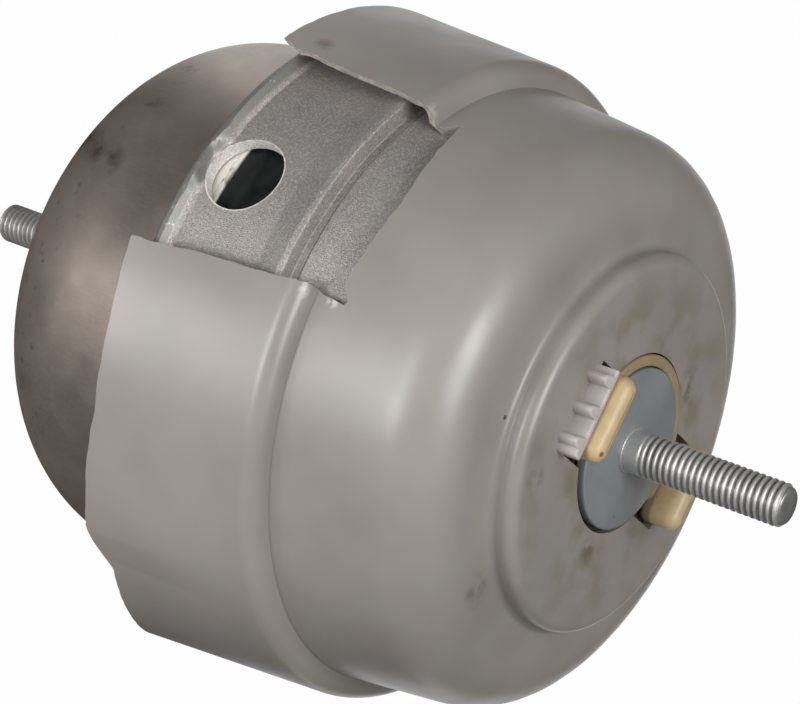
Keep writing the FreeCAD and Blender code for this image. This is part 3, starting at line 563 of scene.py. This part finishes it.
parts = [(collar, True)]
for way, seed in ((1, 0.3), (-1, 1.9)):
    ends = sorted([way * lug_inner, way * (lug_inner + lug_thick)])
    block = rounded_block((ends[0], -lug_width / 2, boss_under_z - 1.2), (ends[1], lug_width / 2, lug_top_z), lug_round)
    parts.append((worn(block, 0.02, seed), True))
guard = solid("guard_ring_moulded", parts)
nylon, tree, shader, coords = finish("moulded_cream_nylon", Roughness=0.4)
shader.inputs["Subsurface Weight"].default_value = 0.12
shader.inputs["Subsurface Scale"].default_value = 0.002
cloud = noise(coords, 7, 3)
stain = ramp(noise(coords, 4.5, 5), 0.5, 0.75, 0, 0.5)
shade = blend(ramp(cloud, 0.3, 0.7), "CBB083", "D8C296")
shade = blend(stain, shade, "B89C6C")

# The ring, lower than the lugs, is coloured darker than them, and what lies deep in the shroud's hole is painted near
# black as painted shade
height = z_of(coords)
shade = blend(ramp(height, 113.8 * MM, 114.4 * MM, 0.8, 0), shade, "93846A")
# Painted shade: below the boss's face the ring is coloured near black
shade = blend(ramp(height, 112.2 * MM, 113.0 * MM, 0.93, 0), shade, "1E1B17")
grime = most([spot(coords, np.array([19.6, 6.2, 119.3]), 0.6), spot(coords, np.array([-20.5, 6.8, 118.0]), 0.7)])
shade = blend(times(grime, 0.8), shade, "4A4032")
# Painted shade: lower still, where the ring has sunk into the gap, it is coloured dark brown
shade = blend(ramp(height, (guard_top_z - 2.2) * MM, (guard_top_z - 0.7) * MM, 0.9, 0), shade, "4A4034")
paint(shader, Base_Color=shade)
bumps(shader, noise(coords, 0.9, 3), 0.04, 0.5)
place(guard, "guard_ring", "cream_nylon", nylon)

# -- Housing. Die-cast aluminium, shot blasted: a grainy wall with a rounded
# ridge and a groove beside it, a round hole, and a smooth rolled lip at its
# foot that holds the cup's flange.
lip_inner, lip_radius, lip_z, lip_side_z = 53.0, 60.6, 45.6, 47.2
wall_foot_radius, wall_foot_z, wall_top_radius, wall_top_z = 58.2, 48.4, 57.7, 65.6
ridge_radius, ridge_z, ridge_end_z = 58.9, 70.6, 71.7
groove_radius, groove_end_z = 55.6, 73.1
waist_radius, waist_end_radius, waist_end_z = 55.8, 54.8, 77.6
crown_radius, crown_z, crown_round, throat_radius = 50.1, 99.5, 9.0, 24.0
bore_radius, cap_radius, cap_z, flange_top_z = 55.8, 50.0, 68.0, 47.1
dome_radius, dome_z, dome_end_radius, dome_end_z = 46.7, 90.5, 43.3, 96.1
hole_radius, hole_z, hole_degrees = 7.1, 54.5, -11.0
hole_direction = math.radians(hole_degrees)
hole_half, hole_reach, hole_cells = 5.6, 12.0, 24
wall_start_z, wall_end_z = 46.6, 65.2


def shell(name, outer, inner, keep, layers=2):
    """A wall between two grids of the same rows and columns, closed round. Faces are kept where keep
    is true, and every free border of the kept area is closed by strips from outer to inner."""
    rows, columns = outer.shape[:2]
    here = np.arange(rows * columns).reshape(rows, columns)
    share = np.linspace(0, 1, layers + 1)[:, None, None, None]
    points = outer * (1 - share) + inner * share
    level = rows * columns

    def face(index_a, index_b, index_c, index_d):
        return np.stack([index_a, index_b, index_c, index_d], -1).reshape(-1, 4)

    beside = np.roll(here, -1, axis=1)
    cover = face(here[:-1], beside[:-1], beside[1:], here[1:])[keep.ravel()]
    faces = [cover, cover[:, ::-1] + level * layers]
    padded = np.pad(keep, ((1, 1), (0, 0)))
    borders = ((keep & ~padded[:-2], here[:-1], beside[:-1]), (keep & ~padded[2:], here[1:], beside[1:]),
               (keep & ~np.roll(keep, 1, axis=1), here[:-1], here[1:]),
               (keep & ~np.roll(keep, -1, axis=1), beside[:-1], beside[1:]))
    for border, start, end in borders:
        first, second = start[border], end[border]
        for k in range(layers):
            above, below = level * k, level * (k + 1)
            faces.append(face(first + above, second + above, second + below, first + below))
    used = np.unique(np.concatenate(faces))
    renumber = np.zeros(level * (layers + 1), int)
    renumber[used] = np.arange(len(used))
    return solid(name, [(points.reshape(-1, 3)[used], True)], loose_faces=renumber[np.concatenate(faces)])


def stretch(corners, count):
    """count points spread evenly along straight runs between corners."""
    corners = np.array(corners, float)
    runs = np.r_[0, np.cumsum(np.linalg.norm(np.diff(corners, axis=0), axis=1))]
    share = np.linspace(0, runs[-1], count)
    return np.stack([np.interp(share, runs, corners[:, k]) for k in (0, 1)], -1)


# Wall rows: the hole's square of cells is hole_cells rows high, so it can be warped into a circle
cell = 2 * hole_half / hole_cells
wall_z = np.r_[wall_start_z, lip_side_z, 47.6, 48.0, wall_foot_z, hole_z - hole_half + cell * np.arange(hole_cells + 1),
               np.linspace(hole_z + hole_half, wall_end_z, 10)[1:]]


def wall_radius(height):
    """The wall's outer radius at a height, from the lip's side to the ridge's foot."""
    return np.interp(height, [lip_side_z, wall_foot_z, wall_top_z], [lip_radius, wall_foot_radius, wall_top_radius])


low_outer = outline([(lip_inner, lip_z), (lip_radius, lip_z, 0.9), (lip_radius, wall_start_z)], bend=5, step=1.2)[:-1]
wall_outer = np.stack([wall_radius(wall_z), wall_z], -1)
high_outer = outline([
    (wall_radius(wall_end_z), wall_end_z), (wall_top_radius, wall_top_z, 3.0), (ridge_radius, ridge_z, 0.9),
    (ridge_radius - 0.3, ridge_end_z, 0.4), (groove_radius, ridge_end_z, 0.2), (groove_radius, groove_end_z, 0.3),
    (waist_radius, groove_end_z, 0.3), (waist_end_radius, waist_end_z, 2.0), (crown_radius, crown_z, crown_round),
    (throat_radius, crown_z)], bend=6, step=1.0)[1:]
outer_line = np.concatenate([low_outer, wall_outer, high_outer])
wall_inner = np.stack([np.full(len(wall_z), bore_radius), np.maximum(wall_z, flange_top_z)], -1)
inner_line = np.concatenate([
    stretch([(lip_inner, flange_top_z), (bore_radius, flange_top_z)], len(low_outer)), wall_inner,
    stretch([(bore_radius, wall_end_z), (bore_radius, cap_z), (cap_radius, cap_z), (cap_radius, waist_end_z),
             (dome_radius, dome_z), (dome_end_radius, dome_end_z), (throat_radius, dome_end_z)],
            len(high_outer) + 1)[1:]])

# Columns: even steps across the hole's face, coarser ones round the rest
half_count = int(hole_reach / cell + 1)
near_turn = np.arcsin(cell * np.arange(-half_count, half_count + 1) / wall_foot_radius)
far_turn = np.linspace(near_turn[-1], FULL_TURN + near_turn[0], 262)[1:-1]
offset = np.r_[near_turn, far_turn]
outer, inner = turned(outer_line, offset + hole_direction), turned(inner_line, offset + hole_direction)
across, up = np.meshgrid(wall_foot_radius * np.sin(offset), outer_line[:, 1] - hole_z)
front = np.meshgrid(np.cos(offset) > 0.5, outer_line[:, 1])[0]
row_number = np.arange(len(outer_line))[:, None]
in_wall = (row_number >= len(low_outer)) & (row_number < len(low_outer) + len(wall_z))
distance = np.maximum(np.hypot(across, up), 1e-6)
square = hole_half / np.maximum(np.abs(across), np.abs(up)).clip(1e-6) * distance
limit = np.where(up < 0, hole_z - wall_start_z - 0.05, wall_end_z - hole_z - 0.05)
reach = np.minimum(hole_reach, limit * distance / np.abs(up).clip(1e-6))
pushed = hole_radius + (distance - square) * (reach - hole_radius) / (reach - square)
warp = front & in_wall & (distance > square - 1e-6) & (distance < reach)
new_across = across / distance * pushed
new_z = up / distance * pushed + hole_z
# A spot face round the hole cuts the lip's taper back, so that the hole's rim stays a clean circle
raised = np.maximum(wall_radius(new_z) - wall_foot_radius - 0.1, 0)
faced = wall_radius(new_z) - raised * np.clip((hole_radius + 1.1 - pushed) / 0.8, 0, 1)
for grid, radius, height in ((outer, faced, new_z),
                             (inner, np.full(new_z.shape, bore_radius), np.maximum(new_z, flange_top_z))):
    depth = np.sqrt(np.maximum(radius ** 2 - new_across ** 2, 0))
    x = depth * math.cos(hole_direction) - new_across * math.sin(hole_direction)
    y = depth * math.sin(hole_direction) + new_across * math.cos(hole_direction)
    grid[warp] = np.stack([x, y, height], -1)[warp]
middle_across = (across[:-1] + np.roll(across, -1, axis=1)[:-1]) / 2
middle_up = (up[:-1] + up[1:]) / 2
keep = ~(front[:-1] & (np.abs(middle_across) < hole_half) & (np.abs(middle_up) < hole_half))
housing = shell("housing_cast", outer, inner, keep)
soften(housing, 0.2)

# Shot-blasted die casting: grey metal broken up by grains, lighter and darker at random, the light ones painted as
# glints, and a smoother, darker lip with bright nicks. The grit is drawn as wide as it is, about 0.2 mm
blasted, tree, shader, coords = finish("shot_blasted_die_cast_aluminium", Metallic=0.6, Roughness=0.5)
grit = add(tree, "TexVoronoi", {"Vector": coords, "Scale": per(0.24)})
tint = add(tree, "SeparateColor", {"Color": grit.outputs["Color"]}).outputs["Red"]
coarse = noise(coords, 0.35, 3, Roughness=0.7)
cloud = noise(coords, 11, 4)
shade = blend(ramp(cloud, 0.3, 0.7), "8E8783", "A69F9A")
shade = blend(ramp(tint, 0.45, 1.0, 0, 0.5), shade, "E4DFDB")
shade = blend(ramp(tint, 0.0, 0.25, 0.4, 0), shade, "66615D")
height = z_of(coords)
lip_mask = ramp(height, (wall_foot_z - 0.6) * MM, (wall_foot_z - 0.3) * MM, 1, 0)
nick = ramp(noise(coords, 1.3, 5, Roughness=0.7), 0.62, 0.68, 0, 0.8)
shade = blend(lip_mask, shade, blend(nick, "757670", "DAD7D1"))
shade = blend(0.18, shade, "F4F0EC")

# The hole's own wall is bare cut metal, coloured near white and made less metallic as painted light, so that it shows
# bright
bare_hole_wall_painted_light = streak(coords, polar(50, hole_degrees, hole_z), polar(62, hole_degrees, hole_z), hole_radius + 0.3, 0.02)
shade = blend(bare_hole_wall_painted_light, shade, blend(ramp(tint, 0.2, 0.8), "D8D2CC", "F6F3F0"))
paint(shader, Base_Color=shade, Metallic=ramp(bare_hole_wall_painted_light, 0, 1, 0.6, 0.2),
      Roughness=ramp(coarse, 0.3, 0.7, 0.38, 0.6))
relief = math_of("ADD", ramp(grit.outputs["Distance"], 0, 0.6), coarse)
relief = times(relief, ramp(lip_mask, 0, 1, 1, 0.12))
bumps(shader, relief, 0.1, 0.7)
place(housing, "housing", "cast_housing", blasted)

# -- Shroud. One moulded plastic cap, a drum with a raised boss over a wider
# skirt. A window was cut through the skirt by hand and its free edge trimmed,
# which left ragged, lighter edges and a broken corner.
boss_radius, boss_round, boss_foot_round, face_z = 35.0, 2.2, 1.5, 108.4
drum_top_radius, drum_radius, drum_round, step_z = 52.4, 56.4, 12.6, 78.4
shoulder_radius, shoulder_round = 60.6, 3.4
skirt_radius, skirt_z = 64.36, 35.4
shroud_hole, notch_reach, notch_half, drawn_in = 17.5, 21.6, 8.7, 1.7
window_low, window_high, window_top = math.radians(-35.1), math.radians(4.7), 82.3
window_columns, skirt_columns = 90, 400
stretch_z = 72.0
drum_slope = (drum_top_radius - drum_radius) / (face_z - step_z)
skirt_slope = (shoulder_radius - skirt_radius) / (step_z - skirt_z)

# The hand-cut edges, as (degrees, mm): the free edge's height round the skirt, the window's
# upper end round the drum, and the window's two sides by height
free_edge = [(-180, 35.4), (-110, 35.4), (-101, 44.0), (-37, 44.0), (6, 43.8), (20, 45.1), (34, 45.1), (50, 42.7),
             (56, 41.5), (60, 42.1), (66, 43.8), (82, 39.6), (95, 35.4), (180, 35.4)]
window_end = [(-37, 82.2), (-34, 81.8), (-26, 82.7), (-16, 83.6), (-2, 82.5), (1, 82.2), (2.6, 83.0), (4.2, 84.2),
              (6, 82.3)]
near_side = [(35, 6.6), (49, 5.9), (55, 5.2), (64, 4.7), (72, 4.3), (78, 3.6), (80, 3.9), (81.5, 4.3), (84, 4.0)]
far_side = [(44, -36.9), (46, -36.4), (48, -35.4), (50, -35.9), (56, -35.3), (71, -34.8), (77, -34.1), (79, -34.5),
            (80.5, -36.5), (82, -37.3), (86, -37.3)]

rng = np.random.default_rng(11)


def ragged(place, step, size):
    """A torn line's offsets from -size to size: random heights at every step, joined up."""
    knots = np.arange(place.min() - step, place.max() + 2 * step, step)
    return np.interp(place, knots, rng.uniform(-1, 1, len(knots))) * size


def along(knots, place):
    """A hand-cut edge read at a place."""
    return np.interp(place, *zip(*knots))


flat_end = boss_radius - boss_round
cut_point = (drum_radius + (window_top - step_z) * drum_slope, window_top)
top_line = outline([(flat_end - 6, boss_z), (boss_radius, boss_z, boss_round), (boss_radius, face_z, boss_foot_round),
                    (drum_top_radius, face_z, drum_round), cut_point, (drum_radius, step_z),
                    (shoulder_radius, step_z, shoulder_round), (skirt_radius, skirt_z)], bend=9, step=1.1)
top_line = top_line[top_line[:, 0] >= flat_end - 0.01]
cut_row = int(np.argmin(np.hypot(*(top_line - cut_point).T)))
under_line = outline([(flat_end - 6, boss_z - shroud_wall), (boss_radius - shroud_wall, boss_z - shroud_wall, 0.5),
                      (boss_radius - shroud_wall, face_z - shroud_wall, boss_foot_round + shroud_wall),
                      (drum_top_radius - shroud_wall * 1.05, face_z - shroud_wall, drum_round - shroud_wall),
                      (drum_radius - shroud_wall, step_z - shroud_wall),
                      (shoulder_radius - shroud_wall * 1.05, step_z - shroud_wall, shoulder_round - shroud_wall),
                      (skirt_radius - shroud_wall, skirt_z)], bend=9, step=0.2)
under_line = under_line[under_line[:, 0] >= flat_end - shroud_wall]

# Each inner point is the nearest one to the outer point, so that the wall keeps its thickness
near = np.maximum.accumulate(np.linalg.norm(top_line[:, None] - under_line[None], axis=2).argmin(1))
bottom_line = under_line[near]
bottom_line[-1] = (skirt_radius - shroud_wall, skirt_z)

angles = np.concatenate([
    window_low + (window_high - window_low) * np.arange(window_columns) / window_columns,
    window_high + (FULL_TURN - window_high + window_low) * np.arange(skirt_columns) / skirt_columns])
degrees = (np.degrees(angles) + 180) % 360 - 180
from_low, from_high = degrees - math.degrees(window_low), degrees - math.degrees(window_high)
cut_z = along(free_edge, degrees)
edge_lift = cut_z - skirt_z + ragged(degrees, 1.6, 0.12) * (cut_z > skirt_z + 0.5)
end_lift = along(window_end, degrees) - window_top + ragged(degrees, 0.9, 0.22)
end_lift *= np.clip((degrees + 39) / 2, 0, 1) * np.clip((7.5 - degrees) / 2, 0, 1)
side_z = np.linspace(skirt_z, window_top + 6, 240)
side_fade = np.clip((window_top + 3.5 - side_z) / 3, 0, 1)
tear = ragged(side_z, 0.8, 0.16) + ragged(side_z, 0.7, 0.6) * np.clip((side_z - 77) / 2, 0, 1)
near_shift = (along(near_side, side_z) - math.degrees(window_high) + tear) * side_fade
far_shift = (along(far_side, side_z) - math.degrees(window_low) + ragged(side_z, 0.9, 0.16)) * side_fade
undercut, fold_depth = 0.9, 0.7


def torn(line, slant=0.0):
    """Turns a line into the shroud's side, moved to the hand-cut edges. A fold runs down the skirt,
    and slant turns the far cut's inner edge back under the wall, by degrees."""
    radius, height = line[:, :1] + 0 * angles, line[:, 1:] + 0 * angles
    lift = edge_lift * np.clip((stretch_z - height) / (stretch_z - skirt_z), 0, 1)
    radius, height = radius + lift * skirt_slope, height + lift
    lift = end_lift * np.exp(-((height - window_top) / 1.6) ** 2)
    radius, height = radius + lift * drum_slope, height + lift
    turn = degrees + np.interp(height, side_z, near_shift, 0, 0) * np.exp(-(from_high / 2.5) ** 2)
    turn += np.interp(height, side_z, far_shift - slant * side_fade, 0, 0) * np.exp(-(from_low / 2.5) ** 2)
    fold = np.clip((turn - 57) / 7, 0, 1) * np.clip((92 - turn) / 20, 0, 1) * np.clip((74 - height) / 20, 0, 1)
    radius = radius - fold_depth * fold
    return swept(radius, np.radians(turn), height)


with np.errstate(divide="ignore"):
    notch = np.minimum(notch_reach / np.abs(np.cos(angles)), notch_half / np.abs(np.sin(angles)))
edge_radius = np.maximum(shroud_hole - drawn_in * sunken(np.degrees(angles) % 360), notch)
flat_rows = 10
share = (np.arange(flat_rows) / flat_rows)[:, None]


def with_flat(line, slant=0.0):
    """Puts the boss's flat face, from the hole's edge outward, before the side."""
    radius = edge_radius * (1 - share) + line[0, 0] * share
    return np.concatenate([swept(radius, angles, line[0, 1]), torn(line, slant)])


outer, inner = with_flat(top_line), with_flat(bottom_line, undercut)
cut_row += flat_rows
rows, columns = outer.shape[:2]
keep = np.ones((rows - 1, columns), bool)
keep[cut_row:, :window_columns] = False
shroud = shell("shroud_moulded", outer, inner, keep)
soften(shroud, 0.16)

# Moulded glass-filled polyamide: matt grey with slow, cloudy changes of tint, brown stains where
# the boss has been handled, and paler, rougher plastic where it was cut
moulded, tree, shader, coords = finish("moulded_grey_polyamide", Roughness=0.42)
shader.inputs["Specular IOR Level"].default_value = 0.65
slow = noise(coords, 38, 3)
mid = noise(coords, 12, 4)
fine = noise(coords, 0.5, 3)
shade = blend(ramp(slow, 0.35, 0.65), "958E89", "A59E99")
shade = blend(ramp(mid, 0.4, 0.7, 0, 0.3), shade, "9A9A92")
height = z_of(coords)
radial, reach = from_axis(coords)
on_boss = times(ramp(reach, 20 * MM, 36 * MM, 1, 0.2), ramp(height, 106 * MM, 110 * MM))
stain = times(ramp(noise(coords, 8, 5), 0.47, 0.64), on_boss)
shade = blend(times(stain, 0.45), shade, "746845")
marks = most([spot(coords, polar(*centre), radius, 0.9) for centre, radius in (
    ((19.6, 98, boss_z), 3.5), ((29.7, 31, boss_z), 3.0), ((20.0, -125, boss_z), 5.0), ((40.0, 62, face_z), 4.0),
    ((62.9, -39, 51), 2.4))])
marks = times(marks, ramp(noise(coords, 3, 4), 0.4, 0.6))
shade = blend(times(marks, 0.8), shade, "5E4E36")
speck = add(tree, "TexVoronoi", {"Vector": coords, "Scale": per(9)})
chance = add(tree, "SeparateColor", {"Color": speck.outputs["Color"]}).outputs["Green"]
speck = times(ramp(speck.outputs["Distance"], 0.03, 0.06, 1, 0), ramp(chance, 0.85, 0.9))
shade = blend(speck, shade, "4C443C")

# The window's corners are chipped pale
chip = spot(coords, polar(60.3, -34.5, 79.5), 2.8, 0.7)
chip = times(chip, ramp(noise(coords, 1.4, 4), 0.4, 0.5))
shade = blend(chip, shade, "D6CFC6")
chip = most([spot(coords, polar(59.8, 5.0, 78.6), 1.7), spot(coords, polar(56.0, 4.6, 81.6), 1.3)])
chip = times(chip, ramp(noise(coords, 1.0, 4), 0.42, 0.52))
shade = blend(chip, shade, "CBC4BB")

# Cut faces are the ones that look neither outward nor inward nor up, low on the shroud
facing = add(tree, "TexCoord").outputs["Normal"]
outward = vectors("DOT_PRODUCT", facing, vectors("NORMALIZE", radial), "Value")
outward = add(tree, "Math", {0: outward}, operation="ABSOLUTE").outputs[0]
cut = times(ramp(outward, 0.55, 0.85, 1, 0), ramp(z_of(facing), 0.2, 0.5, 1, 0))
cut = times(cut, ramp(height, 85.5 * MM, 87 * MM, 1, 0))
pale = blend(ramp(noise(coords, 1.1, 5), 0.4, 0.65), "ACA399", "D2CAC0")
shade = blend(cut, shade, pale)
paint(shader, Base_Color=shade, Roughness=ramp(mid, 0.3, 0.7, 0.3, 0.4))
skin = bumps(shader, noise(coords, 7, 2), 0.12, 0.35)
skin = bumps(shader, fine, 0.02, 0.4, under=skin)
bumps(shader, times(noise(coords, 0.9, 4), cut), 0.35, 0.8, under=skin)
place(shroud, "shroud", "moulded_shroud", moulded)

# -- Fence. Part of the shroud's moulding: a low wall outside one lug, with three
# thick rounded ribs and a thin fin at one end, all on its outer side. Its plastic is
# a paler copy of the shroud's, as painted light on the side that faces the lamp.
fence_inner, fence_wall, fence_rise = 21.5, 1.2, 4.0
fence_from, fence_to = -7.6, 8.9
rib_wide, rib_deep, rib_pitch, rib_middle, end_rib_deep = 2.2, 2.2, 5.8, 0.6, 0.9
top_round = 0.5
run = np.linspace(fence_from, fence_to, 161)


def rib(middle, deep):
    """How far a rib stands out at each place along the wall: a round bar's section."""
    inside = np.clip(1 - ((run - middle) / (rib_wide / 2)) ** 2, 0, 1)
    return deep * inside ** 0.4


bulge = np.max([rib(rib_middle + k * rib_pitch, rib_deep) for k in (-1, 0, 1)]
               + [rib(fence_to - rib_wide / 2, end_rib_deep)], axis=0)
outside = fence_inner + fence_wall + bulge
top_z = boss_z + fence_rise
quarter = np.radians(np.linspace(0, 90, 5))
foot_z = boss_z - 0.6
across_rows = [(outside, foot_z + 0 * run), (outside, boss_z + 0.5 + 0 * run), (outside, top_z - 1.6 + 0 * run)]
for bend in quarter:
    across_rows.append((outside - top_round * (1 - np.cos(bend)) * (1 + bulge * 0.7),
                        top_z - top_round * (1 - np.sin(bend)) - bulge * 0.12))
for bend in quarter[::-1]:
    across_rows.append((fence_inner + top_round * (1 - np.cos(bend)) + 0 * run,
                        top_z - top_round * (1 - np.sin(bend)) + 0 * run))
across_rows += [(fence_inner + 0 * run, foot_z + 0 * run), (outside, foot_z + 0 * run)]
grid = np.stack([np.stack([x, run, z], -1) for x, z in across_rows])
ends = []
for side in (0, -1):
    rim = grid[:-1, side]
    ends.append(np.stack([rim, np.broadcast_to(rim.mean(0), rim.shape)]))
fence = solid("shroud_fence_moulded", [(grid, False)] + [(end, True) for end in ends])
soften(fence, 0.15)
fence_painted_light, tree, shader, coords = finish("grey_nylon_ribs_painted_light", Roughness=0.42)
# Painted light: the same plastic as the shroud, coloured paler because the fence faces the lamp
shade = blend(ramp(noise(coords, 3, 3), 0.35, 0.65), "BEB6B3", "CCC4C1")
paint(shader, Base_Color=shade)
place(fence, "shroud", "moulded_shroud", fence_painted_light)

# -- Floor, lights and camera. A white floor that keeps a faint shadow, three soft
# lamps, the largest from the camera's right, and the photograph's viewing angle.

# The camera was fitted to the photograph's circles: the studs' axis in camera coordinates
# (right, down, ahead), and where the core plate's centre lies from the lens, in millimetres
photo_width = 800
focal_pixels = 2535.0
axis_pitch, axis_yaw = math.radians(32.26), math.radians(19.96)
lug_turn = math.radians(11.0)
core_centre = np.array([40.525, 17.111, 444.171])
axis = np.array([math.cos(axis_yaw) * math.cos(axis_pitch), math.sin(axis_yaw) * math.cos(axis_pitch),
                 -math.sin(axis_pitch)])
backward = np.array([0, 0, -1.0])
toward = backward - (backward @ axis) * axis
toward /= np.linalg.norm(toward)
sideways = np.cross(axis, toward)
lug_way = math.cos(lug_turn) * toward - math.sin(lug_turn) * sideways
to_part = np.stack([lug_way, np.cross(axis, lug_way), axis])
lens_at = -to_part @ core_centre + np.array([0, 0, core_face_z])
right, up, back = to_part @ [1, 0, 0], to_part @ [0, -1, 0], to_part @ [0, 0, -1]

# The floor. Reflections see it white behind the mount and dim beside the cup, like a strip of paper
floor_z = -lower_reach
half = 4000.0
glow_share = 0.985
WHITE = (1, 1, 1, 1)
corners = np.array([(-half, -half, floor_z), (half, -half, floor_z), (half, half, floor_z), (-half, half, floor_z)])
mesh = bpy.data.meshes.new("floor")
mesh.from_pydata((corners * MM).tolist(), [], [(0, 1, 2, 3)])
floor = in_scene("floor", mesh)
paper = bpy.data.materials.new("white_paper_floor")
paper.use_nodes = True
tree = paper.node_tree
tree.nodes.remove(tree.nodes["Principled BSDF"])
diffuse = add(tree, "BsdfDiffuse", {"Color": linear("B0B0B0")})
path = add(tree, "LightPath")
ground = add(tree, "TexCoord").outputs["Object"]
rightward = vectors("DOT_PRODUCT", ground, tuple(right), "Value")
upward = vectors("DOT_PRODUCT", ground, tuple(up), "Value")
strip = times(ramp(rightward, -20 * MM, 8 * MM, 0.04, 1), ramp(upward, 150 * MM, 230 * MM, 1, 0.2))
shown = math_of("MAXIMUM", path.outputs["Is Camera Ray"], path.outputs["Is Transmission Ray"])
seen = times(math_of("MAXIMUM", shown, path.outputs["Is Glossy Ray"]), glow_share)
glow = add(tree, "Emission", {"Color": WHITE, "Strength": math_of("MAXIMUM", shown, strip)})
mixed = add(tree, "MixShader", {0: seen, 1: diffuse.outputs[0], 2: glow.outputs[0]})
tree.links.new(mixed.outputs[0], tree.nodes["Material Output"].inputs["Surface"])
floor.data.materials.append(paper)
floor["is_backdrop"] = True

# The room is brightest on the photographer's side and dim above and below the mount
world = bpy.data.worlds.new("studio")
bpy.context.scene.world = world
world.use_nodes = True
tree = world.node_tree
path = add(tree, "LightPath")
shown = math_of("MAXIMUM", path.outputs["Is Camera Ray"], path.outputs["Is Transmission Ray"])
looking = add(tree, "TexCoord").outputs["Generated"]
lit_way = back * 0.95 + right * 0.3 - up * 0.1
lit_way /= np.linalg.norm(lit_way)
toward_light = vectors("DOT_PRODUCT", looking, tuple(lit_way), "Value")
soft = add(tree, "Background", {"Color": WHITE, "Strength": ramp(toward_light, -0.2, 0.9, 0.04, 0.3)})
white = add(tree, "Background", {"Color": WHITE, "Strength": 1.0})
mixed = add(tree, "MixShader", {0: shown, 1: soft.outputs[0], 2: white.outputs[0]})
tree.links.new(mixed.outputs[0], tree.nodes["World Output"].inputs["Surface"])

camera_data = bpy.data.cameras.new("camera")
camera_data.sensor_fit, camera_data.sensor_width = "HORIZONTAL", 36.0
camera_data.lens = focal_pixels / photo_width * camera_data.sensor_width
camera_data.clip_start, camera_data.clip_end = 0.01, 50.0
camera = in_scene("camera", camera_data)
rows = np.stack([right, up, back], 1).tolist()
camera.matrix_world = Matrix([[*row, at * MM] for row, at in zip(rows, lens_at)] + [[0, 0, 0, 1]])
bpy.context.scene.camera = camera

# Each lamp stays above the floor's level, or the floor would shade it
middle = np.array([0, 0, 60.0])


def soft_box(name, rightward, upward, backward, size, power):
    """A square soft light, placed from the part's middle along the camera's own directions, in mm."""
    lamp = bpy.data.lights.new(name, "AREA")
    lamp.shape, lamp.size, lamp.energy = "SQUARE", size * MM, power
    at = middle + right * rightward + up * upward + back * backward
    made = in_scene(name, lamp)
    made.location = Vector(at * MM)
    made.rotation_euler = Vector((middle - at).tolist()).to_track_quat("-Z", "Y").to_euler()


soft_box("key_left", -270, 25, 360, 170, 0.86)
soft_box("cup_glow", -165, 20, 104, 60, 0.06)
soft_box("front_right", 540, -60, 720, 380, 4.3)

bpy.context.scene.view_settings.view_transform = "Standard"

low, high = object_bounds()
